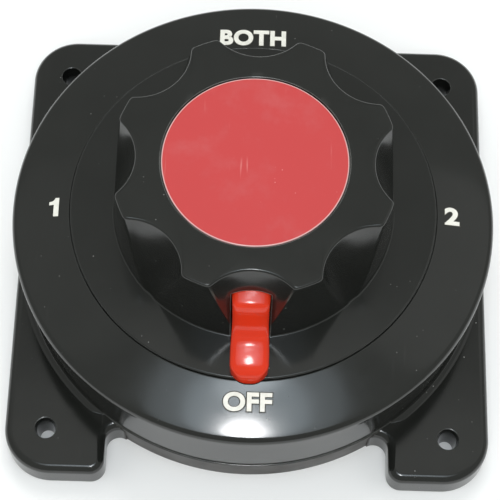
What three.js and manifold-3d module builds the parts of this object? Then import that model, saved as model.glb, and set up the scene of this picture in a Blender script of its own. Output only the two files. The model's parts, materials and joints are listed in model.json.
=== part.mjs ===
// Marine battery selector switch: a square-footed drum housing with a dial cover, and a lobed knob
// that turns a spring-loaded contact finger over two contact arcs (OFF, 1, BOTH and 2, a quarter turn apart).
// Millimetres, +Z up. The origin is the centre of the mounting plane, and the knob turns about +Z.
// At rest the pointer is at OFF, towards -Y.
import * as THREE from 'three';
import { mergeVertices } from 'three/addons/utils/BufferGeometryUtils.js';
import Module from 'manifold-3d';

const wasm = await Module();
wasm.setup();

// ---------- driving dimensions ----------

// Mounting plate and its four feet
const PLATE_SIDE_MARGIN = 2.4;     // of the plate's left and right edges outside the drum
const PLATE_END_MARGIN = 3.4;      // of the feet's front and rear ends outside the drum
const PLATE_THICKNESS = 9;
const PLATE_CORNER_R = 13;
const PLATE_EDGE_R = 2.2;
const FOOT_GAP_HALF = 39;          // half the gap between two feet, front and rear
const FOOT_INNER_CORNER_R = 4;
const FOOT_ROOT_R = 3.5;           // fillet where a foot's inner face meets the drum
const MOUNT_HOLE_INSET = 11.4;     // from the plate's left and right edges
const MOUNT_HOLE_R = 2.1;
const MOUNT_HOLE_TOP_R = 2.95;
const MOUNT_HOLE_CONE_DEPTH = 6.5;

// Drum
const DRUM_R = 64.6;
const DRUM_WALL = 3;
const DRUM_FOOT_PROUD = 0.4;       // the proud lower band is as thick as the plate
const DRUM_FOOT_DRAFT = 0.4;
const SHOULDER_FILLET = 2.2;       // where the drum rises from the feet
const LEDGE_WIDTH = 8.6;           // of the inner ledge that the terminal plate meets
const LEDGE_THICKNESS = 4;

// Dial cover
const RIM_OVERHANG = 1.9;
const RIM_HEIGHT = 3;
const RIM_EDGE_R = 0.8;
const GASKET_THICKNESS = 0.6;
const CONE_RISE = 3.5;             // from the rim's top edge to the edge of the flange recess
const CONE_EDGE_DROP = 0.6;        // of that edge below the flange's top
const COVER_THICKNESS = 3.2;
const COVER_LIP_WIDTH = 3;
const COVER_LIP_DEPTH = 3;
const COVER_LIP_CLEARANCE = 0.3;
const NECK_WALL = 3.9;
const NECK_HEIGHT = 9.4;           // above the floor of the flange recess

// Terminal plate and what it carries
const TERMINAL_PLATE_THICKNESS = 4.5;
const TERMINAL_PLATE_CLEARANCE = 0.5;
const CONTACT_THICKNESS = 2.5;
const CONTACT_INNER_R = 28;
const CONTACT_OUTER_R = 40;
const CONTACT_HALF_GAP_DEG = 6;    // half the gap between the two arcs, under BOTH
const CONTACT_SPAN_DEG = 94;
const COMMON_RING_INNER_R = 11;
const COMMON_RING_OUTER_R = 18;
const STRAP_WIDTH = 12;
const STUD_R = 4.76;               // three eighths of an inch across
const STUD_CIRCLE_R = 34;
const STUD_ANGLE_DEG = 30;         // of terminal 2 from +X; terminal 1 mirrors it
const STUD_SETBACK = 1;            // of the stud's end from the mounting plane
const STUD_PROUD = 1;              // of the stud's end past its outer nut
const STUD_CHAMFER = 0.8;
const STUD_FIT = 0.1;
const NUT_ACROSS_FLATS = 14.3;
const JAM_NUT_THICKNESS = 4.6;
const CABLE_NUT_THICKNESS = 5.4;
const FLAT_WASHER_R = 8.5;
const FLAT_WASHER_THICKNESS = 1.2;
const LOCK_WASHER_R = 7.6;
const LOCK_WASHER_THICKNESS = 1.8;

// Screws that clamp the plate, the drum and the cover together
const SCREW_INSET = 4.4;           // of the screws from the drum's inner wall
const SCREW_R = 1.75;
const SCREW_HEAD_R = 3.4;
const SCREW_HEAD_HEIGHT = 2.4;
const SCREW_REACH = 7;             // into the cover's bosses
const SCREW_CLEARANCE = 0.3;
const BOSS_R = 4;

// Turning parts
const SHAFT_R = 6;
const SQUARE_SETBACK = 0.28;       // of the shaft's square ends from the largest that its journal holds
const SHAFT_COLLAR_WIDTH = 2.5;
const SHAFT_COLLAR_HEIGHT = 2.4;
const SHAFT_RUNNING_FIT = 0.1;
const SQUARE_FIT = 0.06;
const BUSHING_WALL = 3;
const BUSHING_LENGTH = 8.6;
const SEAL_THICKNESS = 2.6;
const SEAL_RETAINER_THICKNESS = 0.8;
const PRESS_GAP = 0.02;
const ROTOR_R = 42;
const ROTOR_DISC_THICKNESS = 3.2;
const ROTOR_BLOCK_WIDTH = 18;
const ROTOR_BLOCK_DEPTH = 4.7;
const ROTOR_HUB_WALL = 4;
const ROTOR_HEADROOM = 2.7;        // from the rotor to the cover's ceiling
const ROTOR_LIFT = 0.8;            // of the rotor's underside over the contacts
const FINGER_WIDTH = 12;
const FINGER_THICKNESS = 2.5;
const FINGER_OUTER_R = 40;
const FINGER_ROOT = 1.2;           // from the rotor's hub to the finger
const FINGER_LIFT = 0.05;          // of the finger over the contacts
const FINGER_SIDE_CLEARANCE = 0.15;
const SPRING_R = 2.6;
const SPRING_WIRE_R = 0.4;
const SPRING_POCKET_R = 3;
const SPRING_POCKET_DEPTH = 2.2;
const SPRING_TURNS = 3.5;
const SPRING_PLACES = [16, 33];    // distances from the axis
const DETENT_WIDTH = 9;
const DETENT_THICKNESS = 0.8;
const DETENT_REACH = 34;
const DETENT_NOSE_PLACE = 26;
const DETENT_NOSE_R = 1.5;
const DETENT_GROOVE_DEPTH = 1.3;
const DETENT_CLEARANCE = 0.25;
const DETENT_RISE = 1.9;           // of the nose's centre over the rotor
const ROTOR_SCREW_R = 2;
const ROTOR_SCREW_HEAD_R = 4.4;
const ROTOR_SCREW_HEAD_HEIGHT = 1.6;
const ROTOR_SCREW_LENGTH = 7;
const ROTOR_WASHER_R = 7.2;
const ROTOR_WASHER_THICKNESS = 1;

// Knob
const KNOB_BASE_R = 38.3;
const KNOB_DRAFT = 0.6;
const KNOB_HEIGHT = 27.8;          // over the flange
const KNOB_EDGE = 0.6;
const FLANGE_WIDTH = 12;
const FLANGE_THICKNESS = 1.2;
const FLANGE_FLOOR_GAP = 0.3;
const FLANGE_EDGE_GAP = 0.3;
const LOBES = 8;
const SCALLOP_OFFSET = 8;          // of a scallop's centre outside the knob's top
const SCALLOP_TOP_R = 14.5;
const SCALLOP_BASE_R = 7.7;
const KNOB_WALL = 12.3;            // from the cavity to the outside of the knob's base
const KNOB_HUB_WALL = 4;
const HUB_NECK_GAP = 0.6;
const KNOB_CLAMP_GAP = 0.3;        // of the shaft's end below the screw's washer
const LABEL_R = 24.5;
const LABEL_THICKNESS = 1;
const LABEL_SIDE_GAP = 0.3;
const LABEL_SETBACK = 0.2;         // of the label's face below the knob's top
const WELL_R = 8.4;
const WELL_DEPTH = 4.2;            // below the label's seat
const DECK_BELOW_WELL = 0.5;
const KNOB_SCREW_R = 2.4;
const KNOB_SCREW_HEAD_R = 4.7;
const KNOB_SCREW_HEAD_HEIGHT = 2.6;
const KNOB_SCREW_LENGTH = 10;
const KNOB_WASHER_R = 7;
const KNOB_WASHER_THICKNESS = 1;
const TAPPED_FIT = 0.2;

// Pointer
const POINTER_WIDTH = 10.3;
const POINTER_ROOT = 3;            // of its tail outside the knob's cavity
const POINTER_OVERHANG = 1.2;      // of its tip past the flange
const POINTER_HEIGHT = 19.4;
const POINTER_SLOT_GAP = 0.12;

// Facets round a full turn
const BIG_ROUND = 48;
const MID_ROUND = 24;
const SMALL_ROUND = 12;

// ---------- levels that follow from them ----------

const bayDepth = STUD_SETBACK + STUD_PROUD + CABLE_NUT_THICKNESS + LOCK_WASHER_THICKNESS
  + JAM_NUT_THICKNESS + FLAT_WASHER_THICKNESS;
const plateTopZ = bayDepth + TERMINAL_PLATE_THICKNESS;
const contactTop = plateTopZ + CONTACT_THICKNESS;
const ledgeTop = plateTopZ + LEDGE_THICKNESS;
const fingerBottom = contactTop + FINGER_LIFT;
const fingerTop = fingerBottom + FINGER_THICKNESS;
const rotorBottom = contactTop + ROTOR_LIFT;
const discBottom = rotorBottom + ROTOR_BLOCK_DEPTH;
const rotorTop = discBottom + ROTOR_DISC_THICKNESS;
const collarTop = rotorTop + SHAFT_COLLAR_HEIGHT;
const coverCeiling = rotorTop + ROTOR_HEADROOM;
const recessFloor = coverCeiling + COVER_THICKNESS;
const neckTop = recessFloor + NECK_HEIGHT;
const flangeBottom = recessFloor + FLANGE_FLOOR_GAP;
const flangeTop = flangeBottom + FLANGE_THICKNESS;
const rimTop = flangeTop - CONE_EDGE_DROP - CONE_RISE;
const coverSeat = rimTop - RIM_HEIGHT;
const drumTop = coverSeat - GASKET_THICKNESS;
const hubBottom = neckTop + HUB_NECK_GAP;
const knobTop = flangeTop + KNOB_HEIGHT;
const labelSeat = knobTop - LABEL_SETBACK - LABEL_THICKNESS;
const wellFloor = labelSeat - WELL_DEPTH;
const cavityCeiling = wellFloor - DECK_BELOW_WELL;
const shaftTop = wellFloor - KNOB_CLAMP_GAP;
const pointerTop = flangeTop + POINTER_HEIGHT;

// ---------- radii and half widths that follow from them ----------

const plateHalfX = DRUM_R + PLATE_SIDE_MARGIN;
const plateHalfY = DRUM_R + PLATE_END_MARGIN;
const holeHalfPitch = plateHalfX - MOUNT_HOLE_INSET;
const drumFootR = DRUM_R + DRUM_FOOT_PROUD;
const drumInnerR = DRUM_R - DRUM_WALL;
const ledgeR = drumInnerR - LEDGE_WIDTH;
const screwCircleR = drumInnerR - SCREW_INSET;
const rimR = DRUM_R + RIM_OVERHANG;
const boreR = SHAFT_R + SHAFT_RUNNING_FIT;
const bushingR = boreR + BUSHING_WALL;
const neckR = bushingR + NECK_WALL;
const collarR = SHAFT_R + SHAFT_COLLAR_WIDTH;
const shaftSquare = SHAFT_R * Math.SQRT2 - SQUARE_SETBACK;
const socketSquare = shaftSquare + 2 * SQUARE_FIT;
const rotorHubR = SHAFT_R + ROTOR_HUB_WALL;
const fingerInnerR = rotorHubR + FINGER_ROOT;
const knobTopR = KNOB_BASE_R - KNOB_DRAFT;
const scallopCentreR = knobTopR + SCALLOP_OFFSET;
const cavityR = KNOB_BASE_R - KNOB_WALL;
const knobHubR = SHAFT_R + KNOB_HUB_WALL;
const flangeR = KNOB_BASE_R + FLANGE_WIDTH;
const recessR = flangeR + FLANGE_EDGE_GAP;
const pointerTailR = cavityR + POINTER_ROOT;
const pointerTipR = flangeR + POINTER_OVERHANG;
const studPlaces = {
  1: polar(STUD_CIRCLE_R, 180 - STUD_ANGLE_DEG),
  2: polar(STUD_CIRCLE_R, STUD_ANGLE_DEG),
  common: polar(STUD_CIRCLE_R, -90),
};

// ---------- helpers ----------

function polar(radius, degrees) {
  const angle = THREE.MathUtils.degToRad(degrees);
  return [radius * Math.cos(angle), radius * Math.sin(angle)];
}

// A closed geometry as a manifold-3d solid, facing out whichever way its profile ran.
function toSolid(geometry) {
  const bare = geometry.index ? geometry.toNonIndexed() : geometry.clone();
  bare.deleteAttribute('normal');
  bare.deleteAttribute('uv');
  const merged = mergeVertices(bare, 1e-4);
  const place = merged.attributes.position.array;
  const kept = [];
  let volume = 0;
  for (let i = 0; i < merged.index.count; i += 3) {
    const [a, b, c] = [0, 1, 2].map((k) => merged.index.getX(i + k));
    if (a === b || b === c || c === a) continue;
    kept.push([a, b, c]);
    const [p, q, r] = [a, b, c].map((k) => new THREE.Vector3().fromArray(place, 3 * k));
    volume += p.dot(q.cross(r));
  }
  const faces = volume < 0 ? kept.map(([a, b, c]) => [a, c, b]) : kept;
  const mesh = new wasm.Mesh({
    numProp: 3,
    vertProperties: place,
    triVerts: new Uint32Array(faces.flat()),
  });
  return new wasm.Manifold(mesh);
}

function toGeometry(solid) {
  const mesh = solid.getMesh();
  const geometry = new THREE.BufferGeometry();
  geometry.setAttribute('position', new THREE.BufferAttribute(mesh.vertProperties, 3));
  geometry.setIndex(new THREE.BufferAttribute(mesh.triVerts, 1));
  const flat = geometry.toNonIndexed();
  flat.computeVertexNormals();
  return flat;
}

// A solid of revolution about Z from [radius, z] points; it closes on itself or on the axis.
function turned(profile, facets = BIG_ROUND) {
  const onAxis = profile[0][0] === 0 && profile.at(-1)[0] === 0;
  const points = onAxis ? profile : [...profile, profile[0]];
  const outline = points.map(([radius, z]) => new THREE.Vector2(radius, z));
  return toSolid(new THREE.LatheGeometry(outline, facets).rotateX(Math.PI / 2));
}

function disc(radius, low, high, facets = MID_ROUND, [x, y] = [0, 0]) {
  const geometry = new THREE.CylinderGeometry(radius, radius, high - low, facets);
  return toSolid(geometry.rotateX(Math.PI / 2).translate(x, y, (low + high) / 2));
}

function ring(inner, outer, low, high, facets = MID_ROUND, [x, y] = [0, 0]) {
  const profile = [[inner, low], [outer, low], [outer, high], [inner, high]];
  return turned(profile, facets).translate([x, y, 0]);
}

function cone(lowR, highR, low, high, facets = MID_ROUND, [x, y] = [0, 0]) {
  const geometry = new THREE.CylinderGeometry(highR, lowR, high - low, facets);
  return toSolid(geometry.rotateX(Math.PI / 2).translate(x, y, (low + high) / 2));
}

function block(low, high) {
  const size = high.map((value, k) => value - low[k]);
  const centre = high.map((value, k) => (value + low[k]) / 2);
  return toSolid(new THREE.BoxGeometry(...size).translate(...centre));
}

function extruded(shape, low, high, curveSegments = 6) {
  const settings = { depth: high - low, bevelEnabled: false, curveSegments };
  return toSolid(new THREE.ExtrudeGeometry(shape, settings).translate(0, 0, low));
}

// A rectangle with its own radius at each corner, in the order left-low, right-low, right-high, left-high.
function roundedRectangle(x0, y0, x1, y1, radii) {
  const [r0, r1, r2, r3] = radii;
  const shape = new THREE.Shape();
  shape.moveTo(x0 + r0, y0);
  shape.lineTo(x1 - r1, y0);
  if (r1) shape.absarc(x1 - r1, y0 + r1, r1, -Math.PI / 2, 0, false);
  shape.lineTo(x1, y1 - r2);
  if (r2) shape.absarc(x1 - r2, y1 - r2, r2, 0, Math.PI / 2, false);
  shape.lineTo(x0 + r3, y1);
  if (r3) shape.absarc(x0 + r3, y1 - r3, r3, Math.PI / 2, Math.PI, false);
  shape.lineTo(x0, y0 + r0);
  if (r0) shape.absarc(x0 + r0, y0 + r0, r0, Math.PI, 1.5 * Math.PI, false);
  return shape;
}

function copies(count, make) {
  return Array.from({ length: count }, (_, k) => make(k));
}

function union(solids) {
  return solids.reduce((whole, next) => whole.add(next));
}

function cut(solid, tools) {
  return tools.reduce((left, tool) => left.subtract(tool), solid);
}

const screwPlaces = copies(4, (k) => polar(screwCircleR, 45 + 90 * k));
const mountPlaces = [[-1, -1], [1, -1], [1, 1], [-1, 1]]
  .map((signs) => signs.map((sign) => sign * holeHalfPitch));

// ---------- materials ----------

function finish(color, roughness, metalness = 0) {
  return new THREE.MeshStandardMaterial({ color, roughness, metalness });
}

const BLACK = finish(0x2c2e2c, 0.25);
const PHENOLIC = finish(0x3a2a20, 0.6);
const RED = finish(0xe03a2a, 0.2);
const LABEL_RED = finish(0xcc5253, 0.45);
const RUBBER = finish(0x161616, 0.8);
const COPPER = finish(0xb8714a, 0.35, 1);
const BRASS = finish(0xc7a350, 0.3, 1);
const STEEL = finish(0xb9bcbf, 0.35, 1);

const group = new THREE.Group();
group.name = 'battery_switch';

function piece(name, solid, material) {
  const mesh = new THREE.Mesh(toGeometry(solid), material);
  mesh.name = name;
  group.add(mesh);
}

// ---------- housing ----------

// One gap between two feet, as it lies at the front: down the left foot's inner face, round the fillet at
// its root, along the drum and back. Its feet end in rounded inner corners.
function gapOutline() {
  const front = -plateHalfY - 5;
  const tip = -plateHalfY;
  const corner = FOOT_INNER_CORNER_R;
  const rootX = FOOT_GAP_HALF - FOOT_ROOT_R;
  const rootDistance = drumFootR + FOOT_ROOT_R;
  const rootY = -Math.sqrt(rootDistance ** 2 - rootX ** 2);
  const rootAngle = Math.atan2(rootY, rootX);
  const shape = new THREE.Shape();
  shape.moveTo(-FOOT_GAP_HALF - corner, front);
  shape.lineTo(FOOT_GAP_HALF + corner, front);
  shape.lineTo(FOOT_GAP_HALF + corner, tip);
  shape.absarc(FOOT_GAP_HALF + corner, tip + corner, corner, -Math.PI / 2, -Math.PI, true);
  shape.lineTo(FOOT_GAP_HALF, rootY);
  shape.absarc(rootX, rootY, FOOT_ROOT_R, 0, Math.PI + rootAngle, false);
  shape.absarc(0, 0, drumFootR, rootAngle, -Math.PI - rootAngle, true);
  shape.absarc(-rootX, rootY, FOOT_ROOT_R, -rootAngle, Math.PI, false);
  shape.lineTo(-FOOT_GAP_HALF, tip + corner);
  shape.absarc(-FOOT_GAP_HALF - corner, tip + corner, corner, 0, -Math.PI / 2, true);
  return shape;
}

// The plate: a rounded square with its top edge rounded off, less the two gaps between its feet.
function plate() {
  const corner = PLATE_CORNER_R;
  const outline = roundedRectangle(
    -plateHalfX, -plateHalfY, plateHalfX, plateHalfY, [corner, corner, corner, corner]);
  const edge = PLATE_EDGE_R;
  const settings = {
    depth: PLATE_THICKNESS, bevelEnabled: true, bevelThickness: edge,
    bevelSize: edge, bevelOffset: -edge, bevelSegments: 3, curveSegments: 8,
  };
  const slab = toSolid(new THREE.ExtrudeGeometry(outline, settings).translate(0, 0, -edge));
  const gap = extruded(gapOutline(), -PLATE_THICKNESS, 2 * PLATE_THICKNESS, 8);
  const below = block(
    [-2 * plateHalfX, -2 * plateHalfY, -PLATE_THICKNESS],
    [2 * plateHalfX, 2 * plateHalfY, 0]);
  return cut(slab, [gap, gap.rotate([0, 0, 180]), below]);
}

function mountHoles() {
  return mountPlaces.flatMap((place) => [
    disc(MOUNT_HOLE_R, -1, PLATE_THICKNESS + 1, SMALL_ROUND, place),
    cone(MOUNT_HOLE_R, MOUNT_HOLE_TOP_R, PLATE_THICKNESS - MOUNT_HOLE_CONE_DEPTH,
      PLATE_THICKNESS, SMALL_ROUND, place),
  ]);
}

// The drum wall, from the mounting plane to the gasket, with the fillet at the feet's tops.
function drum() {
  const filletTop = PLATE_THICKNESS + SHOULDER_FILLET;
  const wall = turned([
    [0, 0],
    [drumFootR - DRUM_FOOT_DRAFT, 0],
    [drumFootR, PLATE_THICKNESS - 0.3],
    [drumFootR - 0.3, PLATE_THICKNESS],
    [DRUM_R, PLATE_THICKNESS],
    [DRUM_R, drumTop],
    [0, drumTop],
  ]);
  const fillet = turned([
    [DRUM_R - 1, PLATE_THICKNESS - 1],
    [DRUM_R + SHOULDER_FILLET, PLATE_THICKNESS - 1],
    [DRUM_R + SHOULDER_FILLET, PLATE_THICKNESS],
    [DRUM_R + SHOULDER_FILLET * 0.617, PLATE_THICKNESS + SHOULDER_FILLET * 0.076],
    [DRUM_R + SHOULDER_FILLET * 0.293, PLATE_THICKNESS + SHOULDER_FILLET * 0.293],
    [DRUM_R + SHOULDER_FILLET * 0.076, PLATE_THICKNESS + SHOULDER_FILLET * 0.617],
    [DRUM_R, filletTop],
    [DRUM_R - 1, filletTop],
  ]);
  const overFeet = block(
    [FOOT_GAP_HALF + 1.5, -plateHalfY, 0],
    [plateHalfX, plateHalfY, drumTop]);
  const bothSides = overFeet.add(overFeet.rotate([0, 0, 180]));
  return wall.add(fillet.intersect(bothSides));
}

function baseHousing() {
  const bay = disc(drumInnerR, -1, plateTopZ, BIG_ROUND);
  const chamber = disc(drumInnerR, ledgeTop, drumTop + 1, BIG_ROUND);
  const ledgeHole = disc(ledgeR, 0, drumTop, BIG_ROUND);
  const screwHoles = screwPlaces.map((place) =>
    disc(SCREW_R + SCREW_CLEARANCE, 0, drumTop, SMALL_ROUND, place));
  return cut(plate().add(drum()), [bay, chamber, ledgeHole, ...screwHoles, ...mountHoles()]);
}

function gasket() {
  return ring(drumInnerR + 0.2, DRUM_R - 0.2, drumTop, coverSeat, BIG_ROUND);
}

function bossTop(place) {
  return disc(BOSS_R, ledgeTop + 0.1, coverCeiling + 0.6, SMALL_ROUND, place);
}

// The cover: rim, cone, flange recess, neck for the bushing, locating lip, screw bosses and detent grooves.
function dialCover() {
  const lipOuter = drumInnerR - COVER_LIP_CLEARANCE;
  const lipInner = lipOuter - COVER_LIP_WIDTH;
  const neckBoreR = bushingR + PRESS_GAP;
  const coneEdge = flangeTop - CONE_EDGE_DROP;
  const shell = turned([
    [neckBoreR, coverCeiling],
    [lipInner - 2, coverCeiling],
    [lipInner, coverCeiling - 1.5],
    [lipInner, coverSeat - COVER_LIP_DEPTH],
    [lipOuter, coverSeat - COVER_LIP_DEPTH],
    [lipOuter, coverSeat],
    [rimR - 0.3, coverSeat],
    [rimR, coverSeat + 0.3],
    [rimR, rimTop - RIM_EDGE_R],
    [rimR - RIM_EDGE_R * 0.3, rimTop - RIM_EDGE_R * 0.3],
    [rimR - RIM_EDGE_R, rimTop],
    [recessR, coneEdge],
    [recessR, recessFloor],
    [neckR, recessFloor],
    [neckR, neckTop - 0.6],
    [neckR - 0.6, neckTop],
    [neckBoreR, neckTop],
  ]);
  const bosses = union(screwPlaces.map(bossTop));
  const bores = screwPlaces.map((place) =>
    disc(SCREW_R + TAPPED_FIT, 0, ledgeTop + SCREW_REACH + 0.6, 12, place));
  const grooveR = DETENT_NOSE_R + DETENT_CLEARANCE;
  const grooves = copies(2, (k) => {
    const bar = new THREE.CylinderGeometry(grooveR, grooveR, 2 * DETENT_REACH + 4, 16);
    const centre = coverCeiling + DETENT_GROOVE_DEPTH - grooveR;
    const keep = ring(collarR + 6, DETENT_REACH + 1, coverCeiling - 3, coverCeiling + 3);
    return toSolid(bar.rotateZ(k * Math.PI / 2).translate(0, 0, centre)).intersect(keep);
  });
  return cut(shell.add(bosses), [...bores, ...grooves]);
}

function coverScrew(place) {
  const head = bayDepth - SCREW_HEAD_HEIGHT;
  const profile = [
    [0, head],
    [SCREW_HEAD_R - 0.8, head],
    [SCREW_HEAD_R, head + 0.8],
    [SCREW_HEAD_R, bayDepth],
    [SCREW_R, bayDepth],
    [SCREW_R, ledgeTop + SCREW_REACH - 1],
    [0, ledgeTop + SCREW_REACH],
  ];
  const slot = block([-SCREW_HEAD_R, -0.5, head - 1], [SCREW_HEAD_R, 0.5, head + 0.9]);
  return turned(profile, SMALL_ROUND).subtract(slot).translate([...place, 0]);
}

// ---------- terminals ----------

function terminalPlate() {
  const outerR = drumInnerR - TERMINAL_PLATE_CLEARANCE;
  const studHoles = Object.values(studPlaces).map((place) =>
    disc(STUD_R + STUD_FIT, 0, plateTopZ + 1, MID_ROUND, place));
  const screwHoles = screwPlaces.map((place) =>
    disc(SCREW_R + SCREW_CLEARANCE, 0, plateTopZ + 1, SMALL_ROUND, place));
  return cut(disc(outerR, bayDepth, plateTopZ, BIG_ROUND), [...studHoles, ...screwHoles]);
}

// A contact arc with its hole for the stud: terminal 2 on the +X side, and terminal 1 as its mirror.
function contactArc(name) {
  const from = THREE.MathUtils.degToRad(90 - CONTACT_HALF_GAP_DEG);
  const to = from - THREE.MathUtils.degToRad(CONTACT_SPAN_DEG);
  const shape = new THREE.Shape();
  shape.absarc(0, 0, CONTACT_OUTER_R, from, to, true);
  shape.absarc(0, 0, CONTACT_INNER_R, to, from, false);
  const arc = extruded(shape, plateTopZ, contactTop, 20);
  const hole = disc(STUD_R + STUD_FIT, 0, contactTop + 1, MID_ROUND, studPlaces[2]);
  const right = arc.subtract(hole);
  return name === '2' ? right : right.mirror([1, 0, 0]);
}

function commonContact() {
  const washer = ring(COMMON_RING_INNER_R, COMMON_RING_OUTER_R, plateTopZ, contactTop);
  const half = STRAP_WIDTH / 2;
  const strap = block([-half, -STUD_CIRCLE_R, plateTopZ], [half, -COMMON_RING_INNER_R - 2, contactTop]);
  const pad = disc(STRAP_WIDTH / 2 + 1.6, plateTopZ, contactTop, MID_ROUND, studPlaces.common);
  const hole = disc(STUD_R + STUD_FIT, 0, contactTop + 1, MID_ROUND, studPlaces.common);
  return union([washer, strap, pad]).subtract(hole);
}

function stud(place) {
  const profile = [
    [0, STUD_SETBACK],
    [STUD_R - STUD_CHAMFER, STUD_SETBACK],
    [STUD_R, STUD_SETBACK + STUD_CHAMFER],
    [STUD_R, contactTop],
    [0, contactTop],
  ];
  return turned(profile, MID_ROUND).translate([...place, 0]);
}

function hexNut(high, thickness, place) {
  const cornerR = NUT_ACROSS_FLATS / Math.sqrt(3);
  const hex = disc(cornerR, high - thickness, high, 6);
  const chamfer = turned([
    [0, high - thickness],
    [cornerR - 0.9, high - thickness],
    [cornerR + 0.1, high - thickness + 0.6],
    [cornerR + 0.1, high],
    [0, high],
  ], MID_ROUND);
  const bore = disc(STUD_R + STUD_FIT, 0, high + 1, MID_ROUND);
  return hex.intersect(chamfer).subtract(bore).translate([...place, 0]);
}

function washer(radius, high, thickness, place) {
  return ring(STUD_R + STUD_FIT, radius, high - thickness, high, MID_ROUND, place);
}

// A split lock washer: a ring with a narrow slanted gap.
function lockWasher(high, place) {
  const round = washer(LOCK_WASHER_R, high, LOCK_WASHER_THICKNESS, [0, 0]);
  const split = block([0, -0.5, high - 4], [LOCK_WASHER_R + 1, 0.5, high + 2]).rotate([20, 0, 0]);
  return round.subtract(split).translate([...place, 0]);
}

// ---------- turning parts ----------

function squareBar(side, low, high) {
  return block([-side / 2, -side / 2, low], [side / 2, side / 2, high]);
}

function shaft() {
  const lowEnd = rotorBottom + 0.1;
  const collar = disc(collarR, rotorTop, collarTop);
  const journal = disc(SHAFT_R, collarTop - 0.5, hubBottom - 0.2);
  const bars = [
    squareBar(shaftSquare, lowEnd, rotorTop + 0.5),
    squareBar(shaftSquare, hubBottom - 1, shaftTop),
  ];
  const topHole = disc(
    KNOB_SCREW_R + TAPPED_FIT, shaftTop - KNOB_SCREW_LENGTH - 1.5, shaftTop + 1, SMALL_ROUND);
  const lowHole = disc(
    ROTOR_SCREW_R + TAPPED_FIT, lowEnd - 1, lowEnd + ROTOR_SCREW_LENGTH + 1, SMALL_ROUND);
  return cut(union([collar, journal, ...bars]), [topHole, lowHole]);
}

function bushing() {
  return ring(boreR, bushingR, coverCeiling, coverCeiling + BUSHING_LENGTH);
}

function shaftSeal() {
  const low = coverCeiling + BUSHING_LENGTH;
  const [inner, outer] = [boreR, bushingR];
  const middle = (inner + outer) / 2;
  const [halfWidth, halfHeight] = [(outer - inner) / 2, SEAL_THICKNESS / 2];
  const section = copies(10, (k) => {
    const angle = (k * Math.PI) / 5;
    return [middle + halfWidth * Math.cos(angle), low + halfHeight * (1 + Math.sin(angle))];
  });
  return turned(section, MID_ROUND);
}

function sealRetainer() {
  const low = coverCeiling + BUSHING_LENGTH + SEAL_THICKNESS;
  return ring(boreR, bushingR, low, low + SEAL_RETAINER_THICKNESS);
}

// The moulded rotor: a disc, a hub and a block that holds the finger and its springs towards the pointer.
function rotor() {
  const plateDisc = disc(ROTOR_R, discBottom, rotorTop, BIG_ROUND);
  const hub = disc(rotorHubR, rotorBottom, rotorTop);
  const half = ROTOR_BLOCK_WIDTH / 2;
  const holder = block([-half, -ROTOR_R + 1.2, rotorBottom], [half, 0, rotorTop]);
  const slotHalf = FINGER_WIDTH / 2 + FINGER_SIDE_CLEARANCE;
  const slot = block(
    [-slotHalf, -FINGER_OUTER_R - 0.3, rotorBottom - 1],
    [slotHalf, -fingerInnerR + 0.4, discBottom]);
  const pockets = SPRING_PLACES.map((place) =>
    disc(SPRING_POCKET_R, discBottom - 1, discBottom + SPRING_POCKET_DEPTH, SMALL_ROUND, [0, -place]));
  const drive = squareBar(socketSquare, rotorBottom - 1, rotorTop + 1);
  return cut(union([plateDisc, hub, holder]), [slot, ...pockets, drive]);
}

function finger() {
  const half = FINGER_WIDTH / 2;
  const shape = roundedRectangle(-half, -FINGER_OUTER_R, half, -fingerInnerR, [2, 2, 1, 1]);
  return extruded(shape, fingerBottom, fingerTop);
}

class Helix extends THREE.Curve {
  getPoint(t, target = new THREE.Vector3()) {
    const angle = t * SPRING_TURNS * 2 * Math.PI;
    const radius = SPRING_R - SPRING_WIRE_R;
    const low = fingerTop + SPRING_WIRE_R + 0.02;
    const high = discBottom + SPRING_POCKET_DEPTH - SPRING_WIRE_R - 0.02;
    return target.set(radius * Math.cos(angle), radius * Math.sin(angle), low + t * (high - low));
  }
}

function contactSpring(place) {
  const wire = new THREE.Shape();
  wire.absarc(0, 0, SPRING_WIRE_R * 0.92, 0, 2 * Math.PI, false);
  const settings = { steps: 28, extrudePath: new Helix(), bevelEnabled: false, curveSegments: 3 };
  return toSolid(new THREE.ExtrudeGeometry(wire, settings)).translate([0, -place, 0]);
}

// A flat spring across the rotor whose two noses snap into the cover's four grooves.
function detentSpring() {
  const half = DETENT_WIDTH / 2;
  const low = rotorTop;
  const shape = roundedRectangle(-DETENT_REACH, -half, DETENT_REACH, half, [3, 3, 3, 3]);
  const strip = extruded(shape, low, low + DETENT_THICKNESS);
  const hubDisc = disc(collarR + 4, low, low + DETENT_THICKNESS);
  const noses = [-1, 1].map((side) => {
    const bar = new THREE.CylinderGeometry(DETENT_NOSE_R, DETENT_NOSE_R, 10, 14);
    const post = block(
      [side * DETENT_NOSE_PLACE - 5, -DETENT_NOSE_R * 0.9, low],
      [side * DETENT_NOSE_PLACE + 5, DETENT_NOSE_R * 0.9, low + DETENT_RISE]);
    bar.rotateZ(Math.PI / 2).translate(side * DETENT_NOSE_PLACE, 0, low + DETENT_RISE);
    return toSolid(bar).add(post);
  });
  const hole = disc(collarR + 0.3, low - 1, low + 2);
  return union([strip, hubDisc, ...noses]).subtract(hole);
}

function rotorWasher() {
  const high = rotorBottom;
  return ring(ROTOR_SCREW_R + TAPPED_FIT, ROTOR_WASHER_R, high - ROTOR_WASHER_THICKNESS, high, MID_ROUND);
}

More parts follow.
